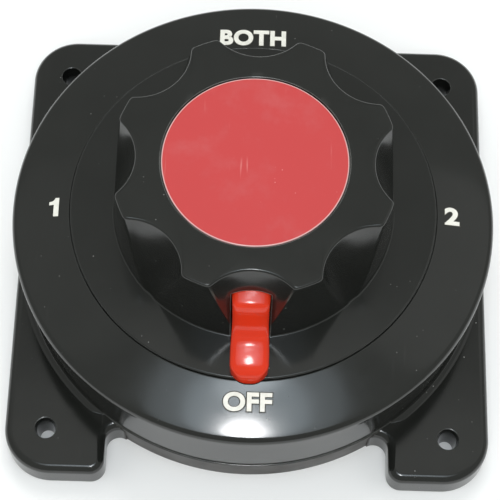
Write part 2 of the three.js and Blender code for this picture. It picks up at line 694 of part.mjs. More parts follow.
function rotorScrew() {
  const seat = rotorBottom - ROTOR_WASHER_THICKNESS;
  const head = seat - ROTOR_SCREW_HEAD_HEIGHT;
  const profile = [
    [0, head],
    [ROTOR_SCREW_HEAD_R - 0.5, head],
    [ROTOR_SCREW_HEAD_R, head + 0.5],
    [ROTOR_SCREW_HEAD_R, seat],
    [ROTOR_SCREW_R, seat],
    [ROTOR_SCREW_R, seat + ROTOR_SCREW_LENGTH],
    [0, seat + ROTOR_SCREW_LENGTH],
  ];
  return turned(profile, SMALL_ROUND);
}

// ---------- knob ----------

function scallop(k) {
  const place = polar(scallopCentreR, -90 + (k * 360) / LOBES);
  const rise = knobTop - flangeTop;
  const over = 1;
  const topR = SCALLOP_TOP_R + ((SCALLOP_TOP_R - SCALLOP_BASE_R) * over) / rise;
  return cone(SCALLOP_BASE_R, topR, flangeTop, knobTop + over, 36, place);
}

function knob() {
  const body = turned([
    [0, flangeBottom],
    [flangeR - 0.3, flangeBottom],
    [flangeR, flangeBottom + 0.3],
    [flangeR, flangeTop - 0.3],
    [flangeR - 0.3, flangeTop],
    [KNOB_BASE_R, flangeTop],
    [knobTopR, knobTop - KNOB_EDGE],
    [knobTopR - KNOB_EDGE, knobTop],
    [0, knobTop],
  ], BIG_ROUND + 16);
  const hollow = disc(cavityR, flangeBottom - 1, cavityCeiling, BIG_ROUND);
  const hub = disc(knobHubR, hubBottom, cavityCeiling + 1);
  const labelRecess = disc(LABEL_R + LABEL_SIDE_GAP, labelSeat, knobTop + 1, BIG_ROUND);
  const well = disc(WELL_R, wellFloor, knobTop, MID_ROUND);
  const drive = squareBar(socketSquare, hubBottom - 1, knobTop);
  const slotHalf = POINTER_WIDTH / 2 + POINTER_SLOT_GAP;
  const slot = block(
    [-slotHalf, -scallopCentreR, flangeTop],
    [slotHalf, -pointerTailR + POINTER_SLOT_GAP, pointerTop + POINTER_SLOT_GAP]);
  const scallops = copies(LOBES, scallop);
  const outside = cut(body, [...scallops, slot, hollow]);
  return cut(outside.add(hub), [labelRecess, well, drive]);
}

function label() {
  return disc(LABEL_R, labelSeat, labelSeat + LABEL_THICKNESS, BIG_ROUND);
}

function knobWasher() {
  return ring(KNOB_SCREW_R + TAPPED_FIT, KNOB_WASHER_R, wellFloor, wellFloor + KNOB_WASHER_THICKNESS);
}

function knobScrew() {
  const seat = wellFloor + KNOB_WASHER_THICKNESS;
  const head = seat + KNOB_SCREW_HEAD_HEIGHT;
  const profile = [
    [0, seat - KNOB_SCREW_LENGTH],
    [KNOB_SCREW_R, seat - KNOB_SCREW_LENGTH],
    [KNOB_SCREW_R, seat],
    [KNOB_SCREW_HEAD_R, seat],
    [KNOB_SCREW_HEAD_R, head - 0.9],
    [KNOB_SCREW_HEAD_R - 1.4, head],
    [0, head],
  ];
  const slot = block([-KNOB_SCREW_HEAD_R, -0.55, head - 1.1], [KNOB_SCREW_HEAD_R, 0.55, head + 1]);
  return turned(profile, SMALL_ROUND).subtract(slot);
}

// ---------- pointer ----------

// The pointer's side view, [distance from the axis, height over the flange]: a brow in the knob's scallop,
// a hollow waist and a toe that lies on the flange.
function pointer() {
  const tip = pointerTipR;
  const side = new THREE.Shape();
  side.moveTo(pointerTailR, 0);
  side.lineTo(tip, 0);
  side.splineThru([
    [tip - 0.4, 2], [tip - 2.3, 4.3], [tip - 5, 5.5], [tip - 8, 6.2], [tip - 10.7, 7.6],
    [tip - 12.2, 10], [tip - 13, 13.4], [tip - 14, 16.9], [tip - 16, 19], [tip - 18.5, POINTER_HEIGHT],
  ].map(([radius, height]) => new THREE.Vector2(radius, height)));
  side.lineTo(pointerTailR, POINTER_HEIGHT);
  const settings = { depth: POINTER_WIDTH, bevelEnabled: false, curveSegments: 12 };
  const bar = new THREE.ExtrudeGeometry(side, settings).translate(0, 0, -POINTER_WIDTH / 2);
  bar.applyMatrix4(new THREE.Matrix4().makeBasis(
    new THREE.Vector3(0, -1, 0), new THREE.Vector3(0, 0, 1), new THREE.Vector3(-1, 0, 0)));
  const plan = roundedRectangle(
    -POINTER_WIDTH / 2, -tip, POINTER_WIDTH / 2, -pointerTailR, [3.6, 3.6, 0, 0]);
  return toSolid(bar.translate(0, 0, flangeTop)).intersect(extruded(plan, flangeTop - 1, knobTop));
}

// ---------- assembly ----------

piece('base_housing', baseHousing(), BLACK);
piece('cover_gasket', gasket(), RUBBER);
piece('dial_cover', dialCover(), BLACK);
screwPlaces.forEach((place, k) => piece(`cover_screw_${k + 1}`, coverScrew(place), STEEL));

piece('terminal_plate', terminalPlate(), PHENOLIC);
piece('fixed_contact_1', contactArc('1'), COPPER);
piece('fixed_contact_2', contactArc('2'), COPPER);
piece('common_contact', commonContact(), COPPER);
for (const [name, place] of Object.entries(studPlaces)) {
  const jamTop = bayDepth - FLAT_WASHER_THICKNESS;
  const lockTop = jamTop - JAM_NUT_THICKNESS;
  piece(`terminal_stud_${name}`, stud(place), BRASS);
  piece(`flat_washer_${name}`, washer(FLAT_WASHER_R, bayDepth, FLAT_WASHER_THICKNESS, place), BRASS);
  piece(`jam_nut_${name}`, hexNut(jamTop, JAM_NUT_THICKNESS, place), BRASS);
  piece(`lock_washer_${name}`, lockWasher(lockTop, place), STEEL);
  piece(`cable_nut_${name}`, hexNut(lockTop - LOCK_WASHER_THICKNESS, CABLE_NUT_THICKNESS, place), BRASS);
}

piece('shaft_bushing', bushing(), BRASS);
piece('shaft_seal', shaftSeal(), RUBBER);
piece('seal_retainer', sealRetainer(), STEEL);

piece('shaft', shaft(), STEEL);
piece('rotor', rotor(), PHENOLIC);
piece('contact_finger', finger(), COPPER);
SPRING_PLACES.forEach((place, k) => piece(`contact_spring_${k + 1}`, contactSpring(place), STEEL));
piece('detent_spring', detentSpring(), STEEL);
piece('rotor_washer', rotorWasher(), STEEL);
piece('rotor_screw', rotorScrew(), STEEL);
piece('knob', knob(), BLACK);
piece('knob_washer', knobWasher(), STEEL);
piece('knob_screw', knobScrew(), STEEL);
piece('pointer', pointer(), RED);
piece('label_disc', label(), LABEL_RED);

export default group;
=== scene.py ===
"""Marine battery selector switch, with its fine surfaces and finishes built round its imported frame.

Each group of pieces has its own operator. Shapes are worked out in millimetres from the frame's own
boxes and a few named sizes, and are scaled to metres as each mesh is made. +Z runs up the knob's axis
and the pointer rests at OFF, towards -Y.
"""

import json
import math
from types import SimpleNamespace

import bmesh
import bpy
from bpy.props import FloatProperty, FloatVectorProperty, IntProperty, PointerProperty
from mathutils import Matrix, Vector


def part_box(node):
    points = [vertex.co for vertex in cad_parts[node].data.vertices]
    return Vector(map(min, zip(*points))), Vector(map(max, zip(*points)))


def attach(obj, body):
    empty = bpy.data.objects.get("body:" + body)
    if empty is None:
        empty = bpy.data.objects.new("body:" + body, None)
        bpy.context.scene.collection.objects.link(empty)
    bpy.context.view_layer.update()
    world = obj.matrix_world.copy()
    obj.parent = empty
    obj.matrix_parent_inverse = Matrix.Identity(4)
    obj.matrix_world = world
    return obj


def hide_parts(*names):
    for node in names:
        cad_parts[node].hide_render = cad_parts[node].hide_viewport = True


bl_info = {
    "name": "Battery selector switch",
    "version": (1, 0, 0),
    "blender": (4, 5, 0),
    "location": "3D View > Sidebar > Battery Switch",
    "description": "Builds a marine battery selector switch round its packed frame",
    "category": "Add Mesh",
}

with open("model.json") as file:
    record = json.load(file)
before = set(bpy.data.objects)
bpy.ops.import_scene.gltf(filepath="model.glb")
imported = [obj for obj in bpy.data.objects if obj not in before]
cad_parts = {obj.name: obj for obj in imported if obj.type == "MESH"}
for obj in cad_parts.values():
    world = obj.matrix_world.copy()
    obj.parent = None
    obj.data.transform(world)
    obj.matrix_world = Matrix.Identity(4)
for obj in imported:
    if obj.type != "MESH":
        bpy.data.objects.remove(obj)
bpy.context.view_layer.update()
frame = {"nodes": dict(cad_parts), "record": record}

MM = 0.001
HOUSING = "housing"
TURNING = "knob_and_rotor"
LOBES = 8
TERMINALS = ("1", "2", "common")
SCREWS = (1, 2, 3, 4)


# ---------- sizes read from the frame, in millimetres ----------


def box_mm(node):
    """A node's lowest and highest corners at rest."""
    low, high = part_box(node)
    return low / MM, high / MM


def frame_sizes():
    """The levels and radii that the fine pieces share with the frame."""
    size = SimpleNamespace()
    high = box_mm("base_housing")[1]
    size.plate_x, size.plate_y, size.drum_top = high.x, high.y, high.z
    high = box_mm("cover_gasket")[1]
    size.gasket_r, size.cover_seat = high.x, high.z
    high = box_mm("dial_cover")[1]
    size.rim_r, size.neck_top = high.x, high.z
    low, high = box_mm("knob")
    size.flange_low, size.flange_r, size.knob_top = low.z, high.x, high.z
    low, high = box_mm("pointer")
    size.flange_top, size.pointer_top = low.z, high.z
    size.pointer_tip, size.pointer_tail, size.pointer_half = -low.y, -high.y, high.x
    low, high = box_mm("label_disc")
    size.label_r, size.label_seat, size.label_top = high.x, low.z, high.z
    low, high = box_mm("terminal_plate")
    size.board_r, size.board_low, size.board_top = high.x, low.z, high.z
    low, high = box_mm("shaft_bushing")
    size.bushing_r, size.cover_ceiling = high.x, low.z
    size.well_floor = box_mm("knob_washer")[0].z
    size.nose_top = box_mm("detent_spring")[1].z
    return size


SIZE = frame_sizes()

# ---------- shape details that the boxes don't give, in millimetres ----------

# R is a radius, GAP a clearance, EDGE a height of an edge, and REACH and SPARE are extra lengths.

DRUM_R = SIZE.gasket_r + 0.2
DRUM_WALL = 3.0
DRUM_FOOT_R = DRUM_R + 0.4
DRUM_FOOT_DRAFT = 0.4
DRUM_INNER_R = DRUM_R - DRUM_WALL
LEDGE_R = DRUM_INNER_R - 8.6
LEDGE_TOP = SIZE.board_top + 4.0
PLATE_TOP = 9.0
PLATE_CORNER_R = 13.0
FOOT_GAP_HALF = 39.0
FOOT_INNER_CORNER_R = 4.0
FOOT_ROOT_R = 3.5
HOLE_INSET = 11.4
HOLE_R = 2.1
HOLE_TOP_R = 2.95
HOLE_TAPER = 6.5
SCREW_CIRCLE_R = DRUM_INNER_R - 4.4
SCREW_HOLE_R = 2.05
RIM_HEIGHT = 3.0
RIM_TOP = SIZE.cover_seat + RIM_HEIGHT
RECESS_R = SIZE.flange_r + 0.16
RECESS_FLOOR = SIZE.flange_low - 0.3
CONE_EDGE = SIZE.flange_top - 0.75
CONE_CROWN = 0.15
CONE_STRIPS = 10
RIM_REACH = 0.8
LIP_GAP = 0.3
LIP_WIDTH = 3.0
LIP_DEPTH = 3.0
NECK_R = SIZE.bushing_r + 3.9
BOSS_R = 4.0
BORE_R = 1.95
BORE_DEPTH = 7.6
GROOVE_R = 1.75
GROOVE_SPARE = 0.2
GROOVE_START = 14.5
GROOVE_END = 35.0
KNOB_BASE_R = 38.3
KNOB_TOP_R = 37.7
SCALLOP_CENTRE_R = 45.7
SCALLOP_BASE_R = 7.7
SCALLOP_TOP_R = 14.5
KNOB_RINGS = 12
CAVITY_R = 26.0
KNOB_HUB_R = 10.0
WELL_R = 8.4
SOCKET_HALF = 4.1625
LABEL_GAP = 0.3
TINY = 0.0005
POINTER_GAP = 0.12
STUD_GAP = 0.1
TOE_LENGTH = 3.7
TOE_DRAW = 4.5
TOE_STATIONS = 24
WAIST_BACK = 13.0
WAIST_SPREAD = 3.6


# ---------- user settings ----------


def length(name, text, millimetres, lowest=0.0, highest=20.0):
    return FloatProperty(
        name=name, description=text, default=millimetres * MM, min=lowest * MM, max=highest * MM,
        precision=5, subtype="DISTANCE", unit="LENGTH")


def colour(name, text, rgb):
    return FloatVectorProperty(
        name=name, description=text, default=rgb, min=0.0, max=1.0, size=3, subtype="COLOR")


class SwitchSizes(bpy.types.PropertyGroup):
    """Sizes of the fine shapes, within the frame's own box."""

    plate_edge: length("Plate edge", "Rounding of the plate's and feet's top edges", 2.2, 0.3, 3.0)
    shoulder: length("Shoulder fillet", "Fillet where the drum rises from the feet", 2.2, 0.3, 3.0)
    rim_edge: length("Rim edge", "Rounding of the dial rim's top edge", 2.0, 0.1, 3.0)
    knob_edge: length("Knob edge", "Rounding of the knob's top outline", 0.55, 0.1, 1.0)
    lobe_edge: length("Lobe edge", "Rounding of the knob's upright edges", 1.7, 0.2, 2.5)
    knob_root: length("Knob root", "Fillet where the knob rises from its flange", 0.45, 0.1, 1.0)
    flange_edge: length("Flange edge", "Rounding of the flange's top edge", 0.5, 0.1, 0.8)
    pointer_edge: length("Pointer edge", "Rounding of the pointer's long edges", 1.1, 0.2, 1.4)
    pointer_waist: length("Pointer waist", "How much each side of the pointer draws in", 0.35, 0.0, 1.0)
    pointer_crown: length("Pointer crown", "Fall of the pointer's skin to its edges", 0.42, 0.0, 1.0)
    legend_height: length("Legend relief", "How far the dial's letters stand proud", 0.22, 0.05, 0.5)
    thread_pitch: length("Thread pitch", "Pitch of the terminal studs' threads", 1.5875, 1.0, 2.5)
    thread_depth: length("Thread depth", "Depth of the terminal studs' threads", 0.8, 0.2, 1.0)
    facets: IntProperty(
        name="Facets", description="Facets round a full turn of the large round pieces",
        default=288, min=96, max=512)


class SwitchColours(bpy.types.PropertyGroup):
    """Colours of the finishes."""

    black: colour("Black plastic", "Glossy moulded housing, cover and knob", (0.0098, 0.0105, 0.0093))
    red: colour("Red plastic", "Glossy moulded pointer", (0.63, 0.032, 0.009))
    label: colour("Label", "Printed face of the knob's label", (0.50, 0.047, 0.048))
    legend: colour("Legend", "Dial letters and numbers", (0.84, 0.83, 0.76))
    phenolic: colour("Phenolic", "Terminal board and rotor", (0.060, 0.032, 0.020))
    brass: colour("Brass", "Studs, nuts and washers", (0.72, 0.50, 0.20))
    copper: colour("Copper", "Contacts", (0.76, 0.34, 0.20))
    steel: colour("Steel", "Screws, shaft and lock washers", (0.60, 0.61, 0.62))
    spring: colour("Spring steel", "Contact and detent springs", (0.48, 0.488, 0.496))
    # Painted shade: a duller, less reflective copy of the black plastic for the contact shadow that the
    # drum's foot reflects.
    foot_band: colour("Foot band", "Duller band round the drum's foot", (0.019, 0.0165, 0.0135))
    legend_border: colour("Legend border", "Thin dark line round the letters", (0.022, 0.020, 0.015))
    rubber: colour("Rubber", "Gasket and shaft seal", (0.014, 0.014, 0.014))
    floor: colour("Floor", "The ground that the switch lies on", (0.93, 0.93, 0.93))


# ---------- outlines ----------


def arc(centre, radius, start, end, steps):
    """Points along an arc, angles in radians, both ends included."""
    angles = [start + (end - start) * k / steps for k in range(steps + 1)]
    return [(centre[0] + radius * math.cos(a), centre[1] + radius * math.sin(a)) for a in angles]


def rounded(corners, steps=6):
    """A closed outline through (a, b, radius) corners, each rounded off with its own radius."""
    points = []
    count = len(corners)
    for k, (a, b, radius) in enumerate(corners):
        here = Vector((a, b))
        if radius <= 0:
            points.append((a, b))
            continue
        back = (Vector(corners[k - 1][:2]) - here).normalized()
        ahead = (Vector(corners[(k + 1) % count][:2]) - here).normalized()
        half = back.angle(ahead) / 2
        centre = here + (back + ahead).normalized() * radius / math.sin(half)
        spoke = here + back * radius / math.tan(half) - centre
        turn = math.copysign(math.pi - 2 * half, -back.cross(ahead))
        for step in range(steps + 1):
            spot = centre + Matrix.Rotation(turn * step / steps, 2) @ spoke
            points.append((spot.x, spot.y))
    return points


def polar(radius, degrees):
    angle = math.radians(degrees)
    return radius * math.cos(angle), radius * math.sin(angle)


def circle(radius, facets):
    angles = [2 * math.pi * k / facets for k in range(facets)]
    return [(radius * math.cos(angle), radius * math.sin(angle)) for angle in angles]


def quarter_turn(steps, first=0):
    """Inward and upward shares along a quarter circle, from an upright wall to a level top."""
    angles = [math.pi / 2 * k / steps for k in range(first, steps + 1)]
    return [(1 - math.cos(angle), math.sin(angle)) for angle in angles]


def cone_height(radius):
    """Height of the dial's slightly crowned cone at a distance from the axis."""
    share = (radius - RECESS_R) / (SIZE.rim_r - RIM_REACH - RECESS_R)
    return CONE_EDGE + (RIM_TOP - CONE_EDGE) * share + 4 * CONE_CROWN * share * (1 - share)


# ---------- meshes ----------


def turned(mesh, profile, facets, centre=(0.0, 0.0)):
    """Adds a solid of revolution about an upright axis from (radius, height) points."""
    on_axis = abs(profile[0][0]) < 1e-9 and abs(profile[-1][0]) < 1e-9
    rings = []
    for radius, height in profile:
        if radius < 1e-9:
            rings.append([mesh.verts.new((*centre, height))])
            continue
        plan = circle(radius, facets)
        rings.append([mesh.verts.new((centre[0] + x, centre[1] + y, height)) for x, y in plan])
    pairs = list(zip(rings, rings[1:]))
    if not on_axis:
        pairs.append((rings[-1], rings[0]))
    for low, high in pairs:
        for k in range(facets):
            after = (k + 1) % facets
            lower = [low[k % len(low)], low[after % len(low)]]
            upper = [high[after % len(high)], high[k % len(high)]]
            distinct = list(dict.fromkeys(lower + upper))
            if len(distinct) > 2:
                mesh.faces.new(distinct)


def lofted(mesh, loops):
    """Adds a closed body through matching rings of (x, y, z) points, with a face on each end."""
    rings = [[mesh.verts.new(point) for point in loop] for loop in loops]
    count = len(rings[0])
    for low, high in zip(rings, rings[1:]):
        for k in range(count):
            after = (k + 1) % count
            mesh.faces.new((low[k], low[after], high[after], high[k]))
    mesh.faces.new(list(reversed(rings[0])))
    mesh.faces.new(rings[-1])


def block(mesh, low, high):
    """Adds a box between two corners, as a loft of its lower and upper rectangles."""
    plan = [(low[0], low[1]), (high[0], low[1]), (high[0], high[1]), (low[0], high[1])]
    lofted(mesh, [[(x, y, z) for x, y in plan] for z in (low[2], high[2])])


def solid(name, build, *values, **named):
    """An object in the scene from a function that fills a bmesh in millimetres."""
    mesh = bmesh.new()
    build(mesh, *values, **named)
    bmesh.ops.recalc_face_normals(mesh, faces=mesh.faces[:])
    bmesh.ops.scale(mesh, vec=(MM, MM, MM), verts=mesh.verts[:])
    data = bpy.data.meshes.new(name)
    mesh.to_mesh(data)
    mesh.free()
    made = bpy.data.objects.new(name, data)
    bpy.context.scene.collection.objects.link(made)
    return made


def apply_modifiers(piece):
    depsgraph = bpy.context.evaluated_depsgraph_get()
    data = bpy.data.meshes.new_from_object(piece.evaluated_get(depsgraph))
    old = piece.data
    piece.modifiers.clear()
    piece.data = data
    data.name = piece.name
    bpy.data.meshes.remove(old)


def combine(piece, others, operation):
    """Joins the other solids to a piece, or cuts them out of it, and drops them."""
    for other in others:
        modifier = piece.modifiers.new(operation.lower(), "BOOLEAN")
        modifier.operation = operation
        modifier.solver = "MANIFOLD"
        modifier.object = other
    apply_modifiers(piece)
    for other in others:
        data = other.data
        bpy.data.objects.remove(other)
        bpy.data.meshes.remove(data)
    return piece


def finished(piece, finish, body, slot, *nodes, crease=32.0, weighted=True):
    """Shades a piece, gives it its finish and its body, and hides the frame's nodes that it stands for."""
    data = piece.data
    data.shade_smooth()
    data.set_sharp_from_angle(angle=math.radians(crease))
    data.materials.clear()
    data.materials.append(finish)
    if weighted:
        modifier = piece.modifiers.new("face_weight", "WEIGHTED_NORMAL")
        modifier.keep_sharp = True
        modifier.weight = 80
    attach(piece, body)
    if nodes:
        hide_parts(*nodes)
    return piece


# ---------- shared shader effects ----------

# Noise scales and stretches, per metre.
WAVE_SCALE = 90.0
GRAIN_SCALE = 2600.0
SPECK_CELLS = 560.0
SPECK_PATCHES = 38.0
SCUFF_STRETCH = (900.0, 45.0, 300.0)
SCUFF_PATCHES = 60.0
TOOL_STRETCH = (160.0, 160.0, 5200.0)
TARNISH_SCALE = 140.0
# Patchiness and reach of the painted highlight lines along rounded edges.
EDGE_HIGHLIGHT_SCALE = 160.0
EDGE_HIGHLIGHT_REACH = 0.0004
CLOUD_SCALE = 55.0
HAZE_SCALE = 120.0
SMUDGE_SCALE = 70.0


class Graph:
    """Short calls for adding and joining shader nodes."""

    def __init__(self, tree):
        self.tree = tree

    def node(self, kind, **settings):
        made = self.tree.nodes.new(kind)
        for key, value in settings.items():
            setattr(made, key, value)
        return made

    def join(self, source, target):
        self.tree.links.new(source, target)

    def feed(self, target, value):
        """A socket is joined, and a plain value is set."""
        if isinstance(value, bpy.types.NodeSocket):
            self.join(value, target)
        else:
            target.default_value = value

    def maths(self, operation, first, second=0.0, clamp=False):
        made = self.node("ShaderNodeMath", operation=operation, use_clamp=clamp)
        self.feed(made.inputs[0], first)
        self.feed(made.inputs[1], second)
        return made.outputs[0]

    def ramp(self, value, low, high, start=0.0, end=1.0):
        made = self.node("ShaderNodeMapRange")
        for key, number in (("From Min", low), ("From Max", high), ("To Min", start), ("To Max", end)):
            self.feed(made.inputs[key], number)
        self.join(value, made.inputs["Value"])
        return made.outputs["Result"]

    def blend(self, share, first, second):
        made = self.node("ShaderNodeMix", data_type="RGBA")
        self.feed(made.inputs["Factor"], share)
        self.feed(made.inputs["A"], first)
        self.feed(made.inputs["B"], second)
        return made.outputs["Result"]

    def noise(self, place, scale, detail=2.0, roughness=0.5):
        made = self.node("ShaderNodeTexNoise")
        self.feed(made.inputs["Vector"], place)
        self.feed(made.inputs["Scale"], scale)
        self.feed(made.inputs["Detail"], detail)
        self.feed(made.inputs["Roughness"], roughness)
        return made.outputs["Fac"]


def effect(name, inputs, outputs):
    """An empty node group with named inputs and outputs, its graph and its two end nodes."""
    tree = bpy.data.node_groups.new(name, "ShaderNodeTree")
    for label, kind, default in inputs:
        socket = tree.interface.new_socket(label, in_out="INPUT", socket_type=kind)
        if default is not None:
            socket.default_value = default
    for label, kind in outputs:
        tree.interface.new_socket(label, in_out="OUTPUT", socket_type=kind)
    graph = Graph(tree)
    return tree, graph, graph.node("NodeGroupInput"), graph.node("NodeGroupOutput")


def moulded_surface():
    """Slight flow waves and fine grain of a glossy moulding, as a height."""
    inputs = (
        ("Place", "NodeSocketVector", None), ("Waves", "NodeSocketFloat", 1.0),
        ("Grain", "NodeSocketFloat", 1.0))
    tree, graph, start, end = effect("moulded_surface", inputs, (("Height", "NodeSocketFloat"),))
    place = start.outputs["Place"]
    waves = graph.maths("MULTIPLY", graph.noise(place, WAVE_SCALE, 1.0), start.outputs["Waves"])
    grain = graph.maths("MULTIPLY", graph.noise(place, GRAIN_SCALE, 2.0), start.outputs["Grain"])
    graph.join(graph.maths("ADD", waves, grain), end.inputs["Height"])
    return tree


def dust_and_scuffs():
    """Sparse dust specks and a few short hairline scuffs, as masks."""
    inputs = (
        ("Place", "NodeSocketVector", None), ("Specks", "NodeSocketFloat", 0.5),
        ("Scuffs", "NodeSocketFloat", 0.5))
    outputs = (("Specks", "NodeSocketFloat"), ("Scuffs", "NodeSocketFloat"))
    tree, graph, start, end = effect("dust_and_scuffs", inputs, outputs)
    place = start.outputs["Place"]
    cells = graph.node("ShaderNodeTexVoronoi")
    graph.join(place, cells.inputs["Vector"])
    cells.inputs["Scale"].default_value = SPECK_CELLS
    spot = graph.ramp(cells.outputs["Distance"], 0.06, 0.13, 1.0, 0.0)
    pick = graph.node("ShaderNodeSeparateColor")
    graph.join(cells.outputs["Color"], pick.inputs[0])
    rare = graph.ramp(pick.outputs[0], 0.86, 0.96)
    patch = graph.ramp(graph.noise(place, SPECK_PATCHES), 0.42, 0.62)
    specks = graph.maths("MULTIPLY", graph.maths("MULTIPLY", spot, rare), patch)
    graph.join(graph.maths("MULTIPLY", specks, start.outputs["Specks"]), end.inputs["Specks"])
    stretch = graph.node("ShaderNodeMapping")
    stretch.inputs["Rotation"].default_value = (0.0, 0.0, 0.6)
    stretch.inputs["Scale"].default_value = SCUFF_STRETCH
    graph.join(place, stretch.inputs["Vector"])
    lines = graph.ramp(graph.noise(stretch.outputs[0], 1.0, 1.0), 0.70, 0.78)
    scuffs = graph.maths("MULTIPLY", lines, graph.ramp(graph.noise(place, SCUFF_PATCHES), 0.5, 0.6))
    graph.join(graph.maths("MULTIPLY", scuffs, start.outputs["Scuffs"]), end.inputs["Scuffs"])
    return tree


def machined_metal():
    """Fine tool marks round an upright axis, with patchy tarnish."""
    inputs = (("Place", "NodeSocketVector", None), ("Tarnish", "NodeSocketFloat", 0.5))
    outputs = (("Marks", "NodeSocketFloat"), ("Tarnish", "NodeSocketFloat"))
    tree, graph, start, end = effect("machined_metal", inputs, outputs)
    place = start.outputs["Place"]
    stretch = graph.node("ShaderNodeMapping")
    stretch.inputs["Scale"].default_value = TOOL_STRETCH
    graph.join(place, stretch.inputs["Vector"])
    graph.join(graph.noise(stretch.outputs[0], 1.0, 3.0), end.inputs["Marks"])
    patches = graph.ramp(graph.noise(place, TARNISH_SCALE, 4.0, 0.6), 0.42, 0.68)
    graph.join(graph.maths("MULTIPLY", patches, start.outputs["Tarnish"]), end.inputs["Tarnish"])
    return tree


def edge_wear():
    """A patchy mask of narrow edges for painted highlight lines, from how far a rounded normal strays from
    the plain one.
    """
    inputs = (("Place", "NodeSocketVector", None), ("Reach", "NodeSocketFloat", EDGE_HIGHLIGHT_REACH))
    tree, graph, start, end = effect("edge_wear", inputs, (("Mask", "NodeSocketFloat"),))
    soft = graph.node("ShaderNodeBevel", samples=6)
    graph.join(start.outputs["Reach"], soft.inputs["Radius"])
    plain = graph.node("ShaderNodeNewGeometry")
    across = graph.node("ShaderNodeVectorMath", operation="DOT_PRODUCT")
    graph.join(soft.outputs[0], across.inputs[0])
    graph.join(plain.outputs["Normal"], across.inputs[1])
    edge = graph.ramp(across.outputs["Value"], 0.90, 0.992, 1.0, 0.0)
    uneven = graph.ramp(graph.noise(start.outputs["Place"], EDGE_HIGHLIGHT_SCALE, 3.0), 0.30, 0.62, 0.25, 1.0)
    graph.join(graph.maths("MULTIPLY", edge, uneven), end.inputs["Mask"])
    return tree


# ---------- finishes ----------


# Light grey for the painted highlight lines along rounded edges.
EDGE_HIGHLIGHT_GREY = (0.20, 0.205, 0.195)
DUST = (0.42, 0.42, 0.40)
SCUFF = (0.25, 0.25, 0.24)
LABEL_SCUFF = (0.80, 0.42, 0.40)
LABEL_DUST = (0.85, 0.62, 0.60)
LABEL_RIM = (0.66, 0.40, 0.39)


def new_finish(name):
    """An empty finish: its graph, its shader and a place to read effects from."""
    material = bpy.data.materials.new(name)
    material.use_nodes = True
    graph = Graph(material.node_tree)
    shader = material.node_tree.nodes["Principled BSDF"]
    place = graph.node("ShaderNodeTexCoord").outputs["Object"]
    return material, graph, shader, place


def add_effect(graph, make, place, **amounts):
    """Adds a shared effect, which is built once under its function's name."""
    made = graph.node("ShaderNodeGroup", node_tree=bpy.data.node_groups.get(make.__name__) or make())
    graph.join(place, made.inputs["Place"])
    for key, value in amounts.items():
        made.inputs[key].default_value = value
    return made


def shade(rgb, factor=1.0, lift=0.0):
    """A colour with its alpha, or a lighter or darker version of it."""
    return (*[min(1.0, factor * value + lift) for value in rgb], 1.0)


def add_relief(graph, shader, height, strength, distance):
    relief = graph.node("ShaderNodeBump")
    relief.inputs["Strength"].default_value = strength
    relief.inputs["Distance"].default_value = distance
    graph.join(height, relief.inputs["Height"])
    graph.join(relief.outputs[0], shader.inputs["Normal"])


def glossy_plastic(name, rgb, gloss=0.13, ior=1.6, dust=0.7, scuffs=0.12, waves=0.5, wear=0.0):
    """Glossy moulded plastic with faint flow waves, dust specks, hairline scuffs and, when asked, painted
    highlight lines along its edges.
    """
    material, graph, shader, place = new_finish(name)
    surface = add_effect(graph, moulded_surface, place, Waves=waves, Grain=0.02)
    dusty = add_effect(graph, dust_and_scuffs, place, Specks=dust, Scuffs=scuffs)
    clouds = graph.ramp(graph.noise(place, CLOUD_SCALE, 3.0), 0.3, 0.7)
    base = graph.blend(clouds, shade(rgb), shade(rgb, 1.18, 0.001))
    # Painted highlight: thin light lines along the rounded edges, stronger for a larger amount.
    if wear:
        edges = add_effect(graph, edge_wear, place)
        base = graph.blend(graph.maths("MULTIPLY", edges.outputs["Mask"], wear), base, shade(EDGE_HIGHLIGHT_GREY))
    base = graph.blend(dusty.outputs["Specks"], base, shade(DUST))
    base = graph.blend(graph.maths("MULTIPLY", dusty.outputs["Scuffs"], 0.25), base, shade(SCUFF))
    graph.join(base, shader.inputs["Base Color"])
    haze = graph.ramp(graph.noise(place, HAZE_SCALE, 4.0), 0.3, 0.75, gloss * 0.85, gloss * 1.25)
    rough = graph.maths("ADD", haze, graph.maths("MULTIPLY", dusty.outputs["Specks"], 0.5))
    rough = graph.maths("ADD", rough, graph.maths("MULTIPLY", dusty.outputs["Scuffs"], 0.25), clamp=True)
    graph.join(rough, shader.inputs["Roughness"])
    shader.inputs["IOR"].default_value = ior
    add_relief(graph, shader, surface.outputs["Height"], 0.35, 0.00012)
    return material


def label_finish(name, rgb):
    """A satin printed foil with faint smudges and a pale cut rim."""
    material, graph, shader, place = new_finish(name)
    dusty = add_effect(graph, dust_and_scuffs, place, Specks=0.5, Scuffs=0.8)
    clouds = graph.noise(place, SMUDGE_SCALE, 5.0, 0.65)
    smudge = graph.ramp(clouds, 0.52, 0.74)
    base = graph.blend(graph.maths("MULTIPLY", smudge, 0.22), shade(rgb), shade(rgb, 0.72, 0.16))
    base = graph.blend(graph.maths("MULTIPLY", dusty.outputs["Scuffs"], 0.5), base, shade(LABEL_SCUFF))
    base = graph.blend(dusty.outputs["Specks"], base, shade(LABEL_DUST))
    axes = graph.node("ShaderNodeSeparateXYZ")
    graph.join(place, axes.inputs[0])
    squares = [graph.maths("MULTIPLY", axes.outputs[k], axes.outputs[k]) for k in (0, 1)]
    distance = graph.maths("SQRT", graph.maths("ADD", *squares))
    rim = graph.ramp(distance, (SIZE.label_r - 0.36) * MM, (SIZE.label_r - 0.24) * MM)
    base = graph.blend(rim, base, shade(LABEL_RIM))
    graph.join(base, shader.inputs["Base Color"])
    graph.join(graph.ramp(clouds, 0.45, 0.75, 0.30, 0.48), shader.inputs["Roughness"])
    add_relief(graph, shader, graph.noise(place, 160.0, 2.0), 0.12, 0.0001)
    return material


